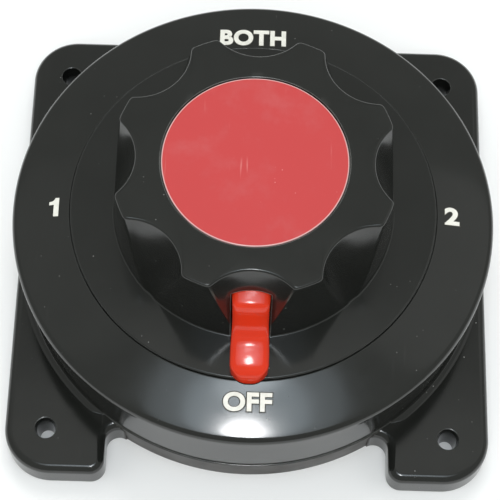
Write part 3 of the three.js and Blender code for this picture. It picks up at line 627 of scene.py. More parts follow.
def legend_finish(name, rgb):
    """Matt raised paint, a little uneven."""
    material, graph, shader, place = new_finish(name)
    uneven = graph.ramp(graph.noise(place, 500.0, 3.0), 0.35, 0.7)
    graph.join(graph.blend(uneven, shade(rgb), shade(rgb, 0.86)), shader.inputs["Base Color"])
    graph.join(graph.ramp(graph.noise(place, 900.0), 0.3, 0.7, 0.38, 0.55), shader.inputs["Roughness"])
    add_relief(graph, shader, graph.noise(place, 1800.0, 3.0), 0.2, 0.00005)
    return material


def metal_finish(name, rgb, gloss, tarnish):
    """Machined metal with tool marks and patchy tarnish."""
    material, graph, shader, place = new_finish(name)
    marks = add_effect(graph, machined_metal, place, Tarnish=tarnish)
    base = graph.blend(marks.outputs["Tarnish"], shade(rgb), shade(rgb, 0.45))
    graph.join(base, shader.inputs["Base Color"])
    shader.inputs["Metallic"].default_value = 1.0
    rough = graph.ramp(marks.outputs["Marks"], 0.3, 0.7, gloss * 0.8, gloss * 1.3)
    graph.join(graph.maths("ADD", rough, graph.maths("MULTIPLY", marks.outputs["Tarnish"], 0.2)),
               shader.inputs["Roughness"])
    add_relief(graph, shader, marks.outputs["Marks"], 0.15, 0.00003)
    return material


def phenolic_finish(name, rgb):
    """Satin moulded phenolic with a fine mottled filler."""
    material, graph, shader, place = new_finish(name)
    filler = graph.ramp(graph.noise(place, 900.0, 5.0, 0.7), 0.4, 0.7)
    graph.join(graph.blend(filler, shade(rgb), shade(rgb, 1.7, 0.004)), shader.inputs["Base Color"])
    graph.join(graph.ramp(filler, 0.0, 1.0, 0.38, 0.55), shader.inputs["Roughness"])
    surface = add_effect(graph, moulded_surface, place, Waves=0.3, Grain=0.3)
    add_relief(graph, shader, surface.outputs["Height"], 0.3, 0.00008)
    return material


def rubber_finish(name, rgb):
    """Matt rubber with a dusty bloom."""
    material, graph, shader, place = new_finish(name)
    bloom = graph.ramp(graph.noise(place, 260.0, 4.0), 0.4, 0.75)
    graph.join(graph.blend(bloom, shade(rgb), shade(rgb, 2.4)), shader.inputs["Base Color"])
    graph.join(graph.ramp(bloom, 0.0, 1.0, 0.6, 0.85), shader.inputs["Roughness"])
    add_relief(graph, shader, graph.noise(place, 1500.0, 3.0), 0.3, 0.00006)
    return material


def floor_finish(name, rgb):
    """A pale matt ground with hardly any mottle."""
    material, graph, shader, place = new_finish(name)
    mottle = graph.ramp(graph.noise(place, 4.0, 2.0), 0.3, 0.7)
    graph.join(graph.blend(mottle, shade(rgb), shade(rgb, 0.985)), shader.inputs["Base Color"])
    shader.inputs["Roughness"].default_value = 0.9
    shader.inputs["Specular IOR Level"].default_value = 0.1
    return material


# Each slot or variant of one: its material's name, its maker, its colour setting and its amounts.
FINISHES = {
    # The three black mouldings differ only in how strongly painted highlight lines lighten their edges.
    "black_plastic": ("black_moulding", glossy_plastic, "black", {"wear": 0.8}),
    "cover_plastic": ("cover_moulding", glossy_plastic, "black", {"wear": 0.25}),
    "knob_plastic": ("knob_moulding", glossy_plastic, "black", {"wear": 1.4}),
    "red_plastic": ("red_moulding", glossy_plastic, "red",
                    {"gloss": 0.11, "ior": 1.42, "dust": 0.0, "scuffs": 0.0, "waves": 0.8}),
    # Painted shade: a dull, weakly reflecting copy of the black plastic for the drum's foot, with extra dust
    # specks.
    "foot_band": ("foot_band", glossy_plastic, "foot_band", {"gloss": 0.34, "ior": 1.33, "dust": 1.0}),
    "legend_border": ("legend_border", glossy_plastic, "legend_border", {"gloss": 0.55}),
    "red_label": ("label_print", label_finish, "label", {}),
    "legend_paint": ("legend_paint", legend_finish, "legend", {}),
    "rubber_seal": ("seal_rubber", rubber_finish, "rubber", {}),
    "brown_phenolic": ("phenolic_board", phenolic_finish, "phenolic", {}),
    "copper": ("copper_contact", metal_finish, "copper", {"gloss": 0.30, "tarnish": 0.5}),
    "brass": ("brass_fitting", metal_finish, "brass", {"gloss": 0.26, "tarnish": 0.45}),
    "spring_steel": ("spring_wire", metal_finish, "spring", {"gloss": 0.25, "tarnish": 0.2}),
    "plated_steel": ("plated_steel", metal_finish, "steel", {"gloss": 0.24, "tarnish": 0.15}),
    "floor": ("pale_floor", floor_finish, "floor", {}),
}


def finish_for(slot):
    """The finish of a slot or of a variant of one, made the first time that it's asked for."""
    name, make, key, amounts = FINISHES[slot]
    rgb = tuple(getattr(bpy.context.scene.switch_colours, key))
    return bpy.data.materials.get(name) or make(name, rgb, **amounts)


# ---------- housing ----------


def side_plate_outline(side, inset):
    """One side of the plate with its two feet, drawn in by inset except inside the drum's wall."""
    corner = PLATE_CORNER_R
    x, y = SIZE.plate_x, SIZE.plate_y
    root_x = FOOT_GAP_HALF - FOOT_ROOT_R
    root_y = math.sqrt((DRUM_FOOT_R + FOOT_ROOT_R) ** 2 - root_x ** 2)
    root_angle = math.atan2(root_y, root_x)
    inner_corner = (FOOT_GAP_HALF + FOOT_INNER_CORNER_R, y - FOOT_INNER_CORNER_R)
    hidden_r = DRUM_R - 1.4
    right_angle = math.pi / 2
    half = arc((x - corner, y - corner), corner - inset, 0.0, right_angle, 20)
    half += arc(inner_corner, FOOT_INNER_CORNER_R - inset, right_angle, 2 * right_angle, 10)
    half += arc((root_x, root_y), FOOT_ROOT_R + inset, 0.0, root_angle - math.pi, 14)
    half += arc((0.0, 0.0), hidden_r, root_angle, 0.05, 24)
    mirrored = [(a, -b) for a, b in reversed(half)]
    return [(side * a, b) for a, b in half + mirrored]


def side_plate(mesh, side, edge):
    levels = [(0.3, 0.0), (0.0, 0.3)]
    levels += [(edge * inward, PLATE_TOP - edge + edge * upward) for inward, upward in quarter_turn(8)]
    lofted(mesh, [[(x, y, z) for x, y in side_plate_outline(side, inset)] for inset, z in levels])


def drum_profile():
    return rounded([
        (DRUM_INNER_R, 0.0, 0.25), (DRUM_FOOT_R - DRUM_FOOT_DRAFT, 0.0, 0.3), (DRUM_FOOT_R, PLATE_TOP, 0.22),
        (DRUM_R, PLATE_TOP + 0.02, 0.12), (DRUM_R, SIZE.drum_top, 0.25), (DRUM_INNER_R, SIZE.drum_top, 0.25),
        (DRUM_INNER_R, LEDGE_TOP, 0.5), (LEDGE_R, LEDGE_TOP, 0.3), (LEDGE_R, SIZE.board_top, 0.3),
        (DRUM_INNER_R, SIZE.board_top, 0.3)])


def shoulder(mesh, side, radius):
    """The fillet between the drum and the feet's tops, dying away towards the gap between the feet."""
    reach = math.acos((FOOT_GAP_HALF + 2.0) / (DRUM_R + radius))
    steps = 96
    inner, sunk = DRUM_R - 1.0, PLATE_TOP - 0.6
    loops = []
    for k in range(steps + 1):
        angle = -reach + 2 * reach * k / steps
        spare = (reach - abs(angle)) * DRUM_R
        here = radius * min(1.0, 0.25 + spare / 4.0)
        section = [(inner, sunk), (DRUM_R + here, sunk)]
        section += arc((DRUM_R + here, PLATE_TOP + here), here, -math.pi / 2, -math.pi, 8)
        section += [(inner, PLATE_TOP + here)]
        loops.append([
            (side * distance * math.cos(angle), distance * math.sin(angle), height)
            for distance, height in section])
    lofted(mesh, loops)


def hole_places():
    half = SIZE.plate_x - HOLE_INSET
    return [(x * half, y * half) for x, y in ((-1, -1), (1, -1), (1, 1), (-1, 1))]


def mount_hole(mesh, place):
    turned(mesh, [
        (0.0, -1.0), (HOLE_R + 0.3, -1.0), (HOLE_R + 0.3, 0.0), (HOLE_R, 0.3),
        (HOLE_R, PLATE_TOP - HOLE_TAPER), (HOLE_TOP_R - 0.05, PLATE_TOP - 0.35),
        (HOLE_TOP_R + 0.05, PLATE_TOP - 0.12), (HOLE_TOP_R + 0.35, PLATE_TOP + 0.03),
        (HOLE_TOP_R + 0.35, PLATE_TOP + 1.0), (0.0, PLATE_TOP + 1.0)], 48, place)


def screw_places():
    return [polar(SCREW_CIRCLE_R, 45 + 90 * k) for k in range(4)]


def plain_hole(mesh, place, radius, low, high):
    turned(mesh, [(0.0, low), (radius, low), (radius, high), (0.0, high)], 32, place)


def build_housing():
    sizes = bpy.context.scene.switch_sizes
    facets = sizes.facets
    housing = solid("housing_shell", turned, drum_profile(), facets)
    parts = []
    for side in (-1, 1):
        parts.append(solid("side_plate", side_plate, side, sizes.plate_edge / MM))
        parts.append(solid("shoulder", shoulder, side, sizes.shoulder / MM))
    combine(housing, parts, "UNION")
    holes = [solid("mount_hole", mount_hole, place) for place in hole_places()]
    holes += [
        solid("screw_hole", plain_hole, place, SCREW_HOLE_R, SIZE.board_top - 1, LEDGE_TOP + 1)
        for place in screw_places()]
    combine(housing, holes, "DIFFERENCE")
    finished(housing, finish_for("black_plastic"), HOUSING, "black_plastic", "base_housing")
    # The drum's foot below the plate's top gets the painted-shade copy of the black plastic.
    housing.data.materials.append(finish_for("foot_band"))
    for face in housing.data.polygons:
        x, y, z = face.center / MM
        if z < PLATE_TOP - 0.1 and abs(math.hypot(x, y) - (DRUM_FOOT_R - 0.2)) < 0.25:
            face.material_index = 1


# ---------- dial cover ----------


def cover_profile(rim_edge):
    lip_outer = DRUM_INNER_R - LIP_GAP
    lip_inner = lip_outer - LIP_WIDTH
    bore = SIZE.bushing_r + 0.02
    ceiling = SIZE.cover_ceiling
    seat = SIZE.cover_seat
    widest, narrowest = SIZE.rim_r - 1.5 * rim_edge, RECESS_R + 0.4
    radii = [widest + (narrowest - widest) * k / CONE_STRIPS for k in range(CONE_STRIPS + 1)]
    crowned = [(radius, cone_height(radius), 0.0) for radius in radii]
    return rounded([
        (bore, ceiling, 0.1), (lip_inner - 2.0, ceiling, 0.6), (lip_inner, ceiling - 1.5, 0.5),
        (lip_inner, seat - LIP_DEPTH, 0.3), (lip_outer, seat - LIP_DEPTH, 0.3), (lip_outer, seat, 0.1),
        (SIZE.rim_r, seat, 0.3), (SIZE.rim_r, cone_height(SIZE.rim_r), rim_edge), *crowned,
        (RECESS_R, CONE_EDGE, 0.15), (RECESS_R, RECESS_FLOOR, 0.1), (NECK_R, RECESS_FLOOR, 0.5),
        (NECK_R, SIZE.neck_top, 0.6), (bore, SIZE.neck_top, 0.3)])


def boss(mesh, place):
    turned(mesh, [
        (0.0, LEDGE_TOP + 0.1), (BOSS_R - 0.2, LEDGE_TOP + 0.1), (BOSS_R, LEDGE_TOP + 0.3),
        (BOSS_R, SIZE.cover_ceiling + 0.6), (0.0, SIZE.cover_ceiling + 0.6)], 32, place)


def detent_groove(mesh, degrees):
    """A rounded bar along a spoke under the cover, where the detent spring's noses click in."""
    centre_z = SIZE.nose_top + GROOVE_SPARE - GROOVE_R
    cosine, sine = polar(1.0, degrees)
    loops = []
    for distance in (GROOVE_START, GROOVE_END):
        section = [(across, centre_z + up) for across, up in circle(GROOVE_R, 32)]
        loops.append([
            (distance * cosine - across * sine, distance * sine + across * cosine, z)
            for across, z in section])
    lofted(mesh, loops)


def build_cover():
    sizes = bpy.context.scene.switch_sizes
    cover = solid("dial_face", turned, cover_profile(sizes.rim_edge / MM), sizes.facets)
    combine(cover, [solid("boss", boss, place) for place in screw_places()], "UNION")
    top = LEDGE_TOP + BORE_DEPTH
    cuts = [solid("bore", plain_hole, place, BORE_R, LEDGE_TOP - 1, top) for place in screw_places()]
    cuts += [solid("groove", detent_groove, 90 * k) for k in range(4)]
    combine(cover, cuts, "DIFFERENCE")
    finished(cover, finish_for("cover_plastic"), HOUSING, "black_plastic", "dial_cover")


# ---------- legends ----------


def legend_mesh(name, text, centre, width, height, boldness, spacing, margin, relief):
    """Letters laid on the dial's cone, fitted to a width and a height and grown by a margin."""
    curve = bpy.data.curves.new(name, "FONT")
    curve.body = text
    curve.resolution_u = 8
    curve.offset = boldness
    curve.space_character = spacing
    curve.extrude = 0.5
    source = bpy.data.objects.new(name + "_outline", curve)
    bpy.context.scene.collection.objects.link(source)
    depsgraph = bpy.context.evaluated_depsgraph_get()
    plain = source.evaluated_get(depsgraph).dimensions.copy()
    curve.offset = boldness + margin * (plain.y - 2 * boldness) / height
    depsgraph = bpy.context.evaluated_depsgraph_get()
    data = bpy.data.meshes.new_from_object(source.evaluated_get(depsgraph))
    bpy.data.objects.remove(source)
    bpy.data.curves.remove(curve)
    xs = [vertex.co.x for vertex in data.vertices]
    ys = [vertex.co.y for vertex in data.vertices]
    for vertex in data.vertices:
        across = (vertex.co.x - (min(xs) + max(xs)) / 2) / (max(xs) - min(xs)) * (width + 2 * margin)
        along = (vertex.co.y - (min(ys) + max(ys)) / 2) / (max(ys) - min(ys)) * (height + 2 * margin)
        x, y = centre[0] + across, centre[1] + along
        layer = relief if vertex.co.z > 0 else LETTER_ROOT
        vertex.co = Vector((x, y, cone_height(math.hypot(x, y)) + layer)) * MM
    data.name = name
    made = bpy.data.objects.new(name, data)
    bpy.context.scene.collection.objects.link(made)
    tidy_letters(data)
    return made


def tidy_letters(data):
    """Joins the letters' faces to their sides, so that each letter is one closed body."""
    mesh = bmesh.new()
    mesh.from_mesh(data)
    bmesh.ops.remove_doubles(mesh, verts=mesh.verts[:], dist=0.002 * MM)
    bmesh.ops.dissolve_degenerate(mesh, edges=mesh.edges[:], dist=0.002 * MM)
    bmesh.ops.recalc_face_normals(mesh, faces=mesh.faces[:])
    mesh.to_mesh(data)
    mesh.free()


# Name, letters, middle, width, height, boldness, spacing.
LEGENDS = (
    ("legend_off", "OFF", (-0.15, -55.95), 12.9, 5.0, 0.038, 1.03),
    ("legend_both", "BOTH", (-1.45, 54.25), 18.9, 5.8, 0.046, 1.09),
    ("legend_two", "2", (54.55, -0.65), 4.15, 5.25, 0.040, 1.0),
)
LEGEND_BORDER = 0.28
BORDER_RELIEF = 0.03
LETTER_ROOT = -0.1
# Name, middle, width, height, and its outline as shares of those.
FIGURE_ONE = ("legend_one", (-54.75, -1.35), 2.7, 5.5)
ONE_OUTLINE = (
    (0.48, 0.0), (1.0, 0.0), (1.0, 1.0), (0.62, 1.0), (0.52, 0.90), (0.33, 0.82), (0.0, 0.78), (0.0, 0.62),
    (0.48, 0.64))


def figure_one(mesh, relief):
    """A bold upright figure one with a flag, laid on the dial's cone."""
    centre, width, height = FIGURE_ONE[1:]
    plan = [(centre[0] + (a - 0.5) * width, centre[1] + (b - 0.5) * height) for a, b in ONE_OUTLINE]
    lofted(mesh, [
        [(x, y, cone_height(math.hypot(x, y)) + layer) for x, y in plan] for layer in (LETTER_ROOT, relief)])


def build_legends():
    relief = bpy.context.scene.switch_sizes.legend_height / MM
    made = [legend_mesh(*legend, 0.0, relief) for legend in LEGENDS]
    made.append(solid(FIGURE_ONE[0], figure_one, relief))
    for letters in made:
        finished(letters, finish_for("legend_paint"), HOUSING, "black_plastic", weighted=False)
    for name, *layout in LEGENDS:
        border = legend_mesh(name + "_border", *layout, LEGEND_BORDER, BORDER_RELIEF)
        finished(border, finish_for("legend_border"), HOUSING, "black_plastic", weighted=False)


# ---------- knob ----------


def knob_outline(share, inset, edge):
    """The lobed outline at a share of the knob's height, drawn in by inset, as (x, y) points."""
    lobe_r = KNOB_BASE_R + (KNOB_TOP_R - KNOB_BASE_R) * share - inset
    scallop_r = SCALLOP_BASE_R + (SCALLOP_TOP_R - SCALLOP_BASE_R) * share + inset
    edge = max(edge - inset, 0.05)
    near = lobe_r - edge
    far = scallop_r + edge
    spread = near ** 2 + SCALLOP_CENTRE_R ** 2 - far ** 2
    swing = math.acos(spread / (2 * near * SCALLOP_CENTRE_R))
    corner = (near * math.cos(swing), near * math.sin(swing))
    inward = math.atan2(-corner[1], SCALLOP_CENTRE_R - corner[0])
    facing = math.atan2(corner[1], corner[0] - SCALLOP_CENTRE_R)
    half_step = math.pi / LOBES
    scallop = arc((SCALLOP_CENTRE_R, 0.0), scallop_r, 2 * math.pi - facing, facing, 24)
    upper = arc(corner, edge, inward, swing, 7)[1:]
    lobe = arc((0.0, 0.0), lobe_r, swing, 2 * half_step - swing, 8)[1:-1]
    lower = [(x, -y) for x, y in reversed(upper)]
    outline = []
    for k in range(LOBES):
        turn = -math.pi / 2 + 2 * half_step * k
        cosine, sine = math.cos(turn), math.sin(turn)
        lobed = lower + scallop[1:-1] + upper + lobe
        outline += [(x * cosine - y * sine, x * sine + y * cosine) for x, y in lobed]
    return outline


def circle_like(outline, radius):
    """A circle with a point in the direction of each of an outline's points."""
    return [(radius * x / math.hypot(x, y), radius * y / math.hypot(x, y)) for x, y in outline]


def knob_body(mesh, sizes):
    flange_r, low, deck, top = SIZE.flange_r, SIZE.flange_low, SIZE.flange_top, SIZE.knob_top
    lobe_edge, knob_edge = sizes.lobe_edge / MM, sizes.knob_edge / MM
    root, rim = sizes.knob_root / MM, sizes.flange_edge / MM
    base = knob_outline(0.0, 0.0, lobe_edge)
    rings = [(circle_like(base, 5.0), low), (circle_like(base, flange_r - 0.25), low),
             (circle_like(base, flange_r), low + 0.25)]
    for inward, upward in quarter_turn(6):
        rings.append((circle_like(base, flange_r - rim * inward), deck - rim + rim * upward))
    for inward, upward in quarter_turn(5):
        rings.append((knob_outline(0.0, -root * (1 - upward), lobe_edge), deck + root * inward))
    rise = top - deck
    for k in range(1, KNOB_RINGS + 1):
        height = root + (rise - root - knob_edge) * k / KNOB_RINGS
        rings.append((knob_outline(height / rise, 0.0, lobe_edge), deck + height))
    for inward, upward in quarter_turn(5, first=1):
        height = rise - knob_edge + knob_edge * upward
        rings.append((knob_outline(height / rise, knob_edge * inward, lobe_edge), deck + height))
    seat_r, seat = SIZE.label_r + LABEL_GAP, SIZE.label_seat
    recess = (
        (seat_r + 2.5, top), (seat_r + 0.2, top), (seat_r + 0.06, top - 0.06), (seat_r, top - 0.2),
        (seat_r, seat), (seat_r - 3.0, seat), (5.0, seat))
    rings += [(circle_like(base, radius), height) for radius, height in recess]
    lofted(mesh, [[(x, y, z) for x, y in plan] for plan, z in rings])


def knob_hollow(mesh):
    """The room under the knob round its hub, as one ring with rounded corners."""
    low, ceiling = SIZE.flange_low - 1.0, SIZE.well_floor - 0.5
    hub_low = SIZE.neck_top + 0.6
    turned(mesh, [
        (0.0, low), (CAVITY_R, low), (CAVITY_R, ceiling - 1.0), (CAVITY_R - 0.3, ceiling - 0.3),
        (CAVITY_R - 1.0, ceiling), (KNOB_HUB_R + 0.8, ceiling), (KNOB_HUB_R + 0.2, ceiling - 0.2),
        (KNOB_HUB_R, ceiling - 0.8), (KNOB_HUB_R, hub_low + 0.3), (KNOB_HUB_R - 0.3, hub_low),
        (0.0, hub_low)], 96)


def build_knob():
    sizes = bpy.context.scene.switch_sizes
    knob = solid("knob_shell", knob_body, sizes)
    slot_half = SIZE.pointer_half + POINTER_GAP
    tail = SIZE.pointer_tail - POINTER_GAP
    cuts = [
        solid("hollow", knob_hollow),
        solid("slot", block, (-slot_half, -SCALLOP_CENTRE_R, SIZE.flange_top),
              (slot_half, -tail, SIZE.pointer_top + POINTER_GAP)),
        solid("well", plain_hole, (0.0, 0.0), WELL_R, SIZE.well_floor, SIZE.label_seat + 1.0),
        solid("socket", block, (-SOCKET_HALF, -SOCKET_HALF, SIZE.neck_top),
              (SOCKET_HALF, SOCKET_HALF, SIZE.well_floor + 1.0))]
    combine(knob, cuts, "DIFFERENCE")
    finished(knob, finish_for("knob_plastic"), TURNING, "black_plastic", "knob")


def build_label():
    radius, low, top = SIZE.label_r, SIZE.label_seat, SIZE.label_top
    profile = [(0.0, low), (radius - 0.1, low), (radius, low + 0.1), (radius, top - 0.16),
               (radius - 0.05, top - 0.05), (radius - 0.16, top), (radius - 0.4, top), (0.0, top)]
    label = solid("label_face", turned, profile, bpy.context.scene.switch_sizes.facets)
    finished(label, finish_for("red_label"), TURNING, "red_label", "label_disc")


# ---------- pointer ----------


# The pointer's upper line as (distance short of the tip, drop from the top) in millimetres.
POINTER_LINE = (
    (20.5, 0.0), (19.2, 0.1), (18.2, 0.29), (16.7, 0.63), (15.2, 1.03), (14.2, 1.7), (13.4, 4.0),
    (12.7, 7.6), (11.8, 10.4), (10.4, 12.1), (8.8, 12.85), (7.6, 13.15), (6.1, 13.48), (4.5, 13.9),
    (2.9, 14.4), (1.7, 15.05), (0.8, 16.1), (0.25, 17.6))
LINE_STEPS = 8
SMOOTHING = 16


def pointer_line():
    """The pointer's upper line, tail to toe, as (distance from the axis, height over the flange)."""
    tip, tall = SIZE.pointer_tip, SIZE.pointer_top - SIZE.flange_top
    middle = [(tip - short, tall - drop) for short, drop in POINTER_LINE]
    knots = [(SIZE.pointer_tail, tall), *middle, (tip, 0.0)]
    points = [knots[0]]
    for k in range(len(knots) - 2):
        p0, p1, p2, p3 = (Vector(knots[min(max(k + j, 0), len(knots) - 1)]) for j in (-1, 0, 1, 2))
        for step in range(1, LINE_STEPS + 1):
            t = step / LINE_STEPS
            spot = 0.5 * (2 * p1 + (p2 - p0) * t + (2 * p0 - 5 * p1 + 4 * p2 - p3) * t ** 2
                          + (3 * p1 - p0 - 3 * p2 + p3) * t ** 3)
            points.append((spot.x, min(spot.y, tall)))
    for _ in range(SMOOTHING):
        inner = [
            (points[k][0], (points[k - 1][1] + 2 * points[k][1] + points[k + 1][1]) / 4)
            for k in range(1, len(points) - 1)]
        points = [points[0], *inner, points[-1]]
    return points + [knots[-1]]


def height_along(line, distance):
    """The line's height at a distance, straight between its points."""
    for (near, low), (far, high) in zip(line, line[1:]):
        if near <= distance <= far and far > near:
            return low + (high - low) * (distance - near) / (far - near)
    return line[-1][1]


def pointer_stations():
    """Distances and heights along the pointer, closer together where its toe rounds off in plan."""
    line = pointer_line()
    start = SIZE.pointer_tip - TOE_LENGTH
    stations = [point for point in line if point[0] < start - 0.05]
    for _, upward in quarter_turn(TOE_STATIONS):
        distance = start + TOE_LENGTH * upward
        stations.append((distance, height_along(line, distance)))
    return stations


def toe_share(distance):
    """How far along the rounded toe a distance from the axis lies, from 0 to 1."""
    return min(max(0.0, distance - (SIZE.pointer_tip - TOE_LENGTH)) / TOE_LENGTH, 1.0)


def pointer_half_width(distance, waist):
    """Half the pointer's width at a distance from the axis, with its waist and rounded toe."""
    middle = SIZE.pointer_tip - WAIST_BACK
    half = SIZE.pointer_half - waist * math.exp(-((distance - middle) / WAIST_SPREAD) ** 2)
    return half - TOE_DRAW + TOE_DRAW * math.sqrt(1 - toe_share(distance) ** 2)


def pointer_body(mesh, sizes):
    """A crowned skin swept along the pointer's upper line, rounded over to its upright sides."""
    edge, waist, crown = sizes.pointer_edge / MM, sizes.pointer_waist / MM, sizes.pointer_crown / MM
    stations = pointer_stations()
    rows = []
    for k, (distance, height) in enumerate(stations):
        before = Vector(stations[max(k - 1, 0)])
        after = Vector(stations[min(k + 1, len(stations) - 1)])
        along = (after - before).normalized()
        normal = Vector((-along.y, along.x)).lerp(Vector((0.0, 1.0)), toe_share(distance))
        half = pointer_half_width(distance, waist)
        here = min(edge, half * 0.8)
        side = [(half - here * inward, here * (1 - upward)) for inward, upward in quarter_turn(6)]
        flat = half - here
        side += [(flat * share, 0.0) for share in (0.8, 0.6, 0.4, 0.2)]
        skin = []
        for x, drop in side:
            sunk = drop + crown * (x / SIZE.pointer_half) ** 2
            reach = min(distance - normal.x * sunk, SIZE.pointer_tip)
            skin.append((x, reach, max(height - normal.y * sunk, 0.0)))
        right = [(half, skin[0][1], 0.0)] + skin
        row = right + [(0.0, distance, height)] + [(-x, r, h) for x, r, h in reversed(right)]
        rows.append([(x, -r, SIZE.flange_top + h) for x, r, h in row])
    lofted(mesh, rows)
    bmesh.ops.dissolve_degenerate(mesh, edges=mesh.edges[:], dist=TINY)


def build_pointer():
    pointer = solid("pointer_shell", pointer_body, bpy.context.scene.switch_sizes)
    finished(pointer, finish_for("red_plastic"), TURNING, "red_plastic", "pointer", crease=50.0)


# ---------- underside ----------


def stud_body(mesh, place, radius, low, high, thread_end, pitch, depth):
    """A stud whose thread is a true helix, with a plain shank above it and a chamfered end."""
    around, per_turn, chamfer = 40, 8, 1.1
    rows = int((thread_end - low) / pitch * per_turn)
    loops = []
    for row in range(rows + 1):
        height = low + (thread_end - low) * row / rows
        loop = []
        for k in range(around):
            phase = (height / pitch - k / around) % 1.0
            groove = min(1.0, max(0.0, abs(2 * phase - 1) * 1.35 - 0.15))
            fade = min(1.0, (thread_end - height) / pitch)
            here = radius - depth * groove * fade
            here = min(here, radius - chamfer + (height - low))
            angle = 2 * math.pi * k / around
            loop.append((place[0] + here * math.cos(angle), place[1] + here * math.sin(angle), height))
        loops.append(loop)
    shank = [(place[0] + x, place[1] + y) for x, y in circle(radius, around)]
    loops += [[(x, y, height) for x, y in shank] for height in (thread_end + 0.05, high)]
    lofted(mesh, loops)


def hexagon(mesh, place, corner_r, low, high):
    plan = [polar(corner_r, 60 * k) for k in range(6)]
    lofted(mesh, [[(place[0] + x, place[1] + y, z) for x, y in plan] for z in (low, high)])


def nut_turning(mesh, place, corner_r, low, high):
    """A nut's body of revolution, whose chamfers round off the hexagon's corners."""
    reach, crown, chamfer = corner_r + 0.05, corner_r - 0.95, 0.62
    turned(mesh, [
        (0.0, low), (crown, low), (reach, low + chamfer), (reach, high - chamfer), (crown, high),
        (0.0, high)], 96, place)


def ring_profile(inner, outer, low, high, edge):
    corners = [(inner, low), (outer, low), (outer, high), (inner, high)]
    return rounded([(*corner, edge) for corner in corners], steps=3)


def node_middle(node):
    low, high = box_mm(node)
    return ((low.x + high.x) / 2, (low.y + high.y) / 2), low, high


def build_nut(node, bore):
    place, low, high = node_middle(node)
    corner_r = (high.x - low.x) / 2
    nut = solid(node + "_fine", nut_turning, place, corner_r, low.z, high.z)
    combine(nut, [solid("hexagon", hexagon, place, corner_r, low.z - 1, high.z + 1)], "INTERSECT")
    mouth = bore + 0.5
    bored = [
        (0.0, low.z - 1), (mouth, low.z - 1), (mouth, low.z), (bore, low.z + 0.5),
        (bore, high.z - 0.5), (mouth, high.z), (mouth, high.z + 1), (0.0, high.z + 1)]
    combine(nut, [solid("bore", turned, bored, 48, place)], "DIFFERENCE")
    finished(nut, finish_for("brass"), HOUSING, "brass", node)


def build_terminals():
    sizes = bpy.context.scene.switch_sizes
    for name in TERMINALS:
        node = "terminal_stud_" + name
        place, low, high = node_middle(node)
        radius = (high.x - low.x) / 2
        bore = radius + STUD_GAP
        stud = solid("threaded_stud_" + name, stud_body, place, radius, low.z, high.z, SIZE.board_low,
                     sizes.thread_pitch / MM, sizes.thread_depth / MM)
        finished(stud, finish_for("brass"), HOUSING, "brass", node, crease=60.0, weighted=False)
        build_nut("jam_nut_" + name, bore)
        build_nut("cable_nut_" + name, bore)
        place, low, high = node_middle("flat_washer_" + name)
        profile = ring_profile(bore, (high.x - low.x) / 2, low.z, high.z, 0.25)
        washer = solid("washer_" + name, turned, profile, 96, place)
        finished(washer, finish_for("brass"), HOUSING, "brass", "flat_washer_" + name)
        build_lock_washer("lock_washer_" + name, bore)


def split_cut(mesh, place, reach, low, high):
    """A slanted slit through a lock washer, towards +X."""
    lean = 0.36 * (high - low) / 2
    loops = []
    for height, shift in ((low - 1.0, -lean * 2), (high + 1.0, lean * 2)):
        loops.append([(place[0] + x, place[1] + y + shift, height)
                      for x, y in ((0.5, -0.5), (reach + 1, -0.5), (reach + 1, 0.5), (0.5, 0.5))])
    lofted(mesh, loops)


def build_lock_washer(node, bore):
    place, low, high = node_middle(node)
    reach = (high.y - low.y) / 2
    profile = ring_profile(bore, reach, low.z, high.z, 0.2)
    washer = solid(node + "_fine", turned, profile, 96, place)
    combine(washer, [solid("slit", split_cut, place, reach, low.z, high.z)], "DIFFERENCE")
    finished(washer, finish_for("plated_steel"), HOUSING, "plated_steel", node)


def build_board():
    """The moulded board that carries the terminals, with its stud and screw holes."""
    radius, low, top = SIZE.board_r, SIZE.board_low, SIZE.board_top
    board = solid("terminal_board", turned, [
        (0.0, low), (radius - 0.6, low), (radius - 0.17, low + 0.17), (radius, low + 0.6),
        (radius, top - 0.3), (radius - 0.3, top), (0.0, top)], 192)
    holes = []
    for name in TERMINALS:
        place, stud_low, stud_high = node_middle("terminal_stud_" + name)
        bore = (stud_high.x - stud_low.x) / 2 + STUD_GAP
        holes.append(solid("stud_hole", plain_hole, place, bore, low - 1, top + 1))
    holes += [
        solid("screw_hole", plain_hole, place, SCREW_HOLE_R, low - 1, top + 1) for place in screw_places()]
    combine(board, holes, "DIFFERENCE")
    finished(board, finish_for("brown_phenolic"), HOUSING, "brown_phenolic", "terminal_plate")


def screw_body(mesh, place, head_r, low, head_top, shank_r, high):
    turned(mesh, [
        (0.0, low), (head_r - 1.3, low), (head_r - 0.55, low + 0.2), (head_r - 0.12, low + 0.75),
        (head_r, low + 1.3), (head_r, head_top - 0.15), (head_r - 0.15, head_top), (shank_r, head_top),
        (shank_r, high - 1.0), (0.0, high)], 48, place)


def build_cover_screws():
    head, shank_r = 2.4, 1.75
    for number in SCREWS:
        node = f"cover_screw_{number}"
        place, low, high = node_middle(node)
        head_r = (high.x - low.x) / 2
        screw = solid(
            f"slotted_screw_{number}", screw_body, place, head_r, low.z, low.z + head, shank_r, high.z)
        slot = solid("slot", block, (place[0] - head_r - 1, place[1] - 0.5, low.z - 1),
                     (place[0] + head_r + 1, place[1] + 0.5, low.z + 0.9))
        combine(screw, [slot], "DIFFERENCE")
        finished(screw, finish_for("plated_steel"), HOUSING, "plated_steel", node)


# ---------- nodes kept from the frame ----------


def finish_kept_nodes():
    """Gives each node that is still shown the finish of its material slot."""
    slots = {row["node"]: row["material_slot"] for row in frame["record"]["subparts"]}
    for name, node in frame["nodes"].items():
        if node.hide_render:
            continue
        node.data.materials.clear()
        node.data.materials.append(finish_for(slots[name]))


# ---------- stage ----------


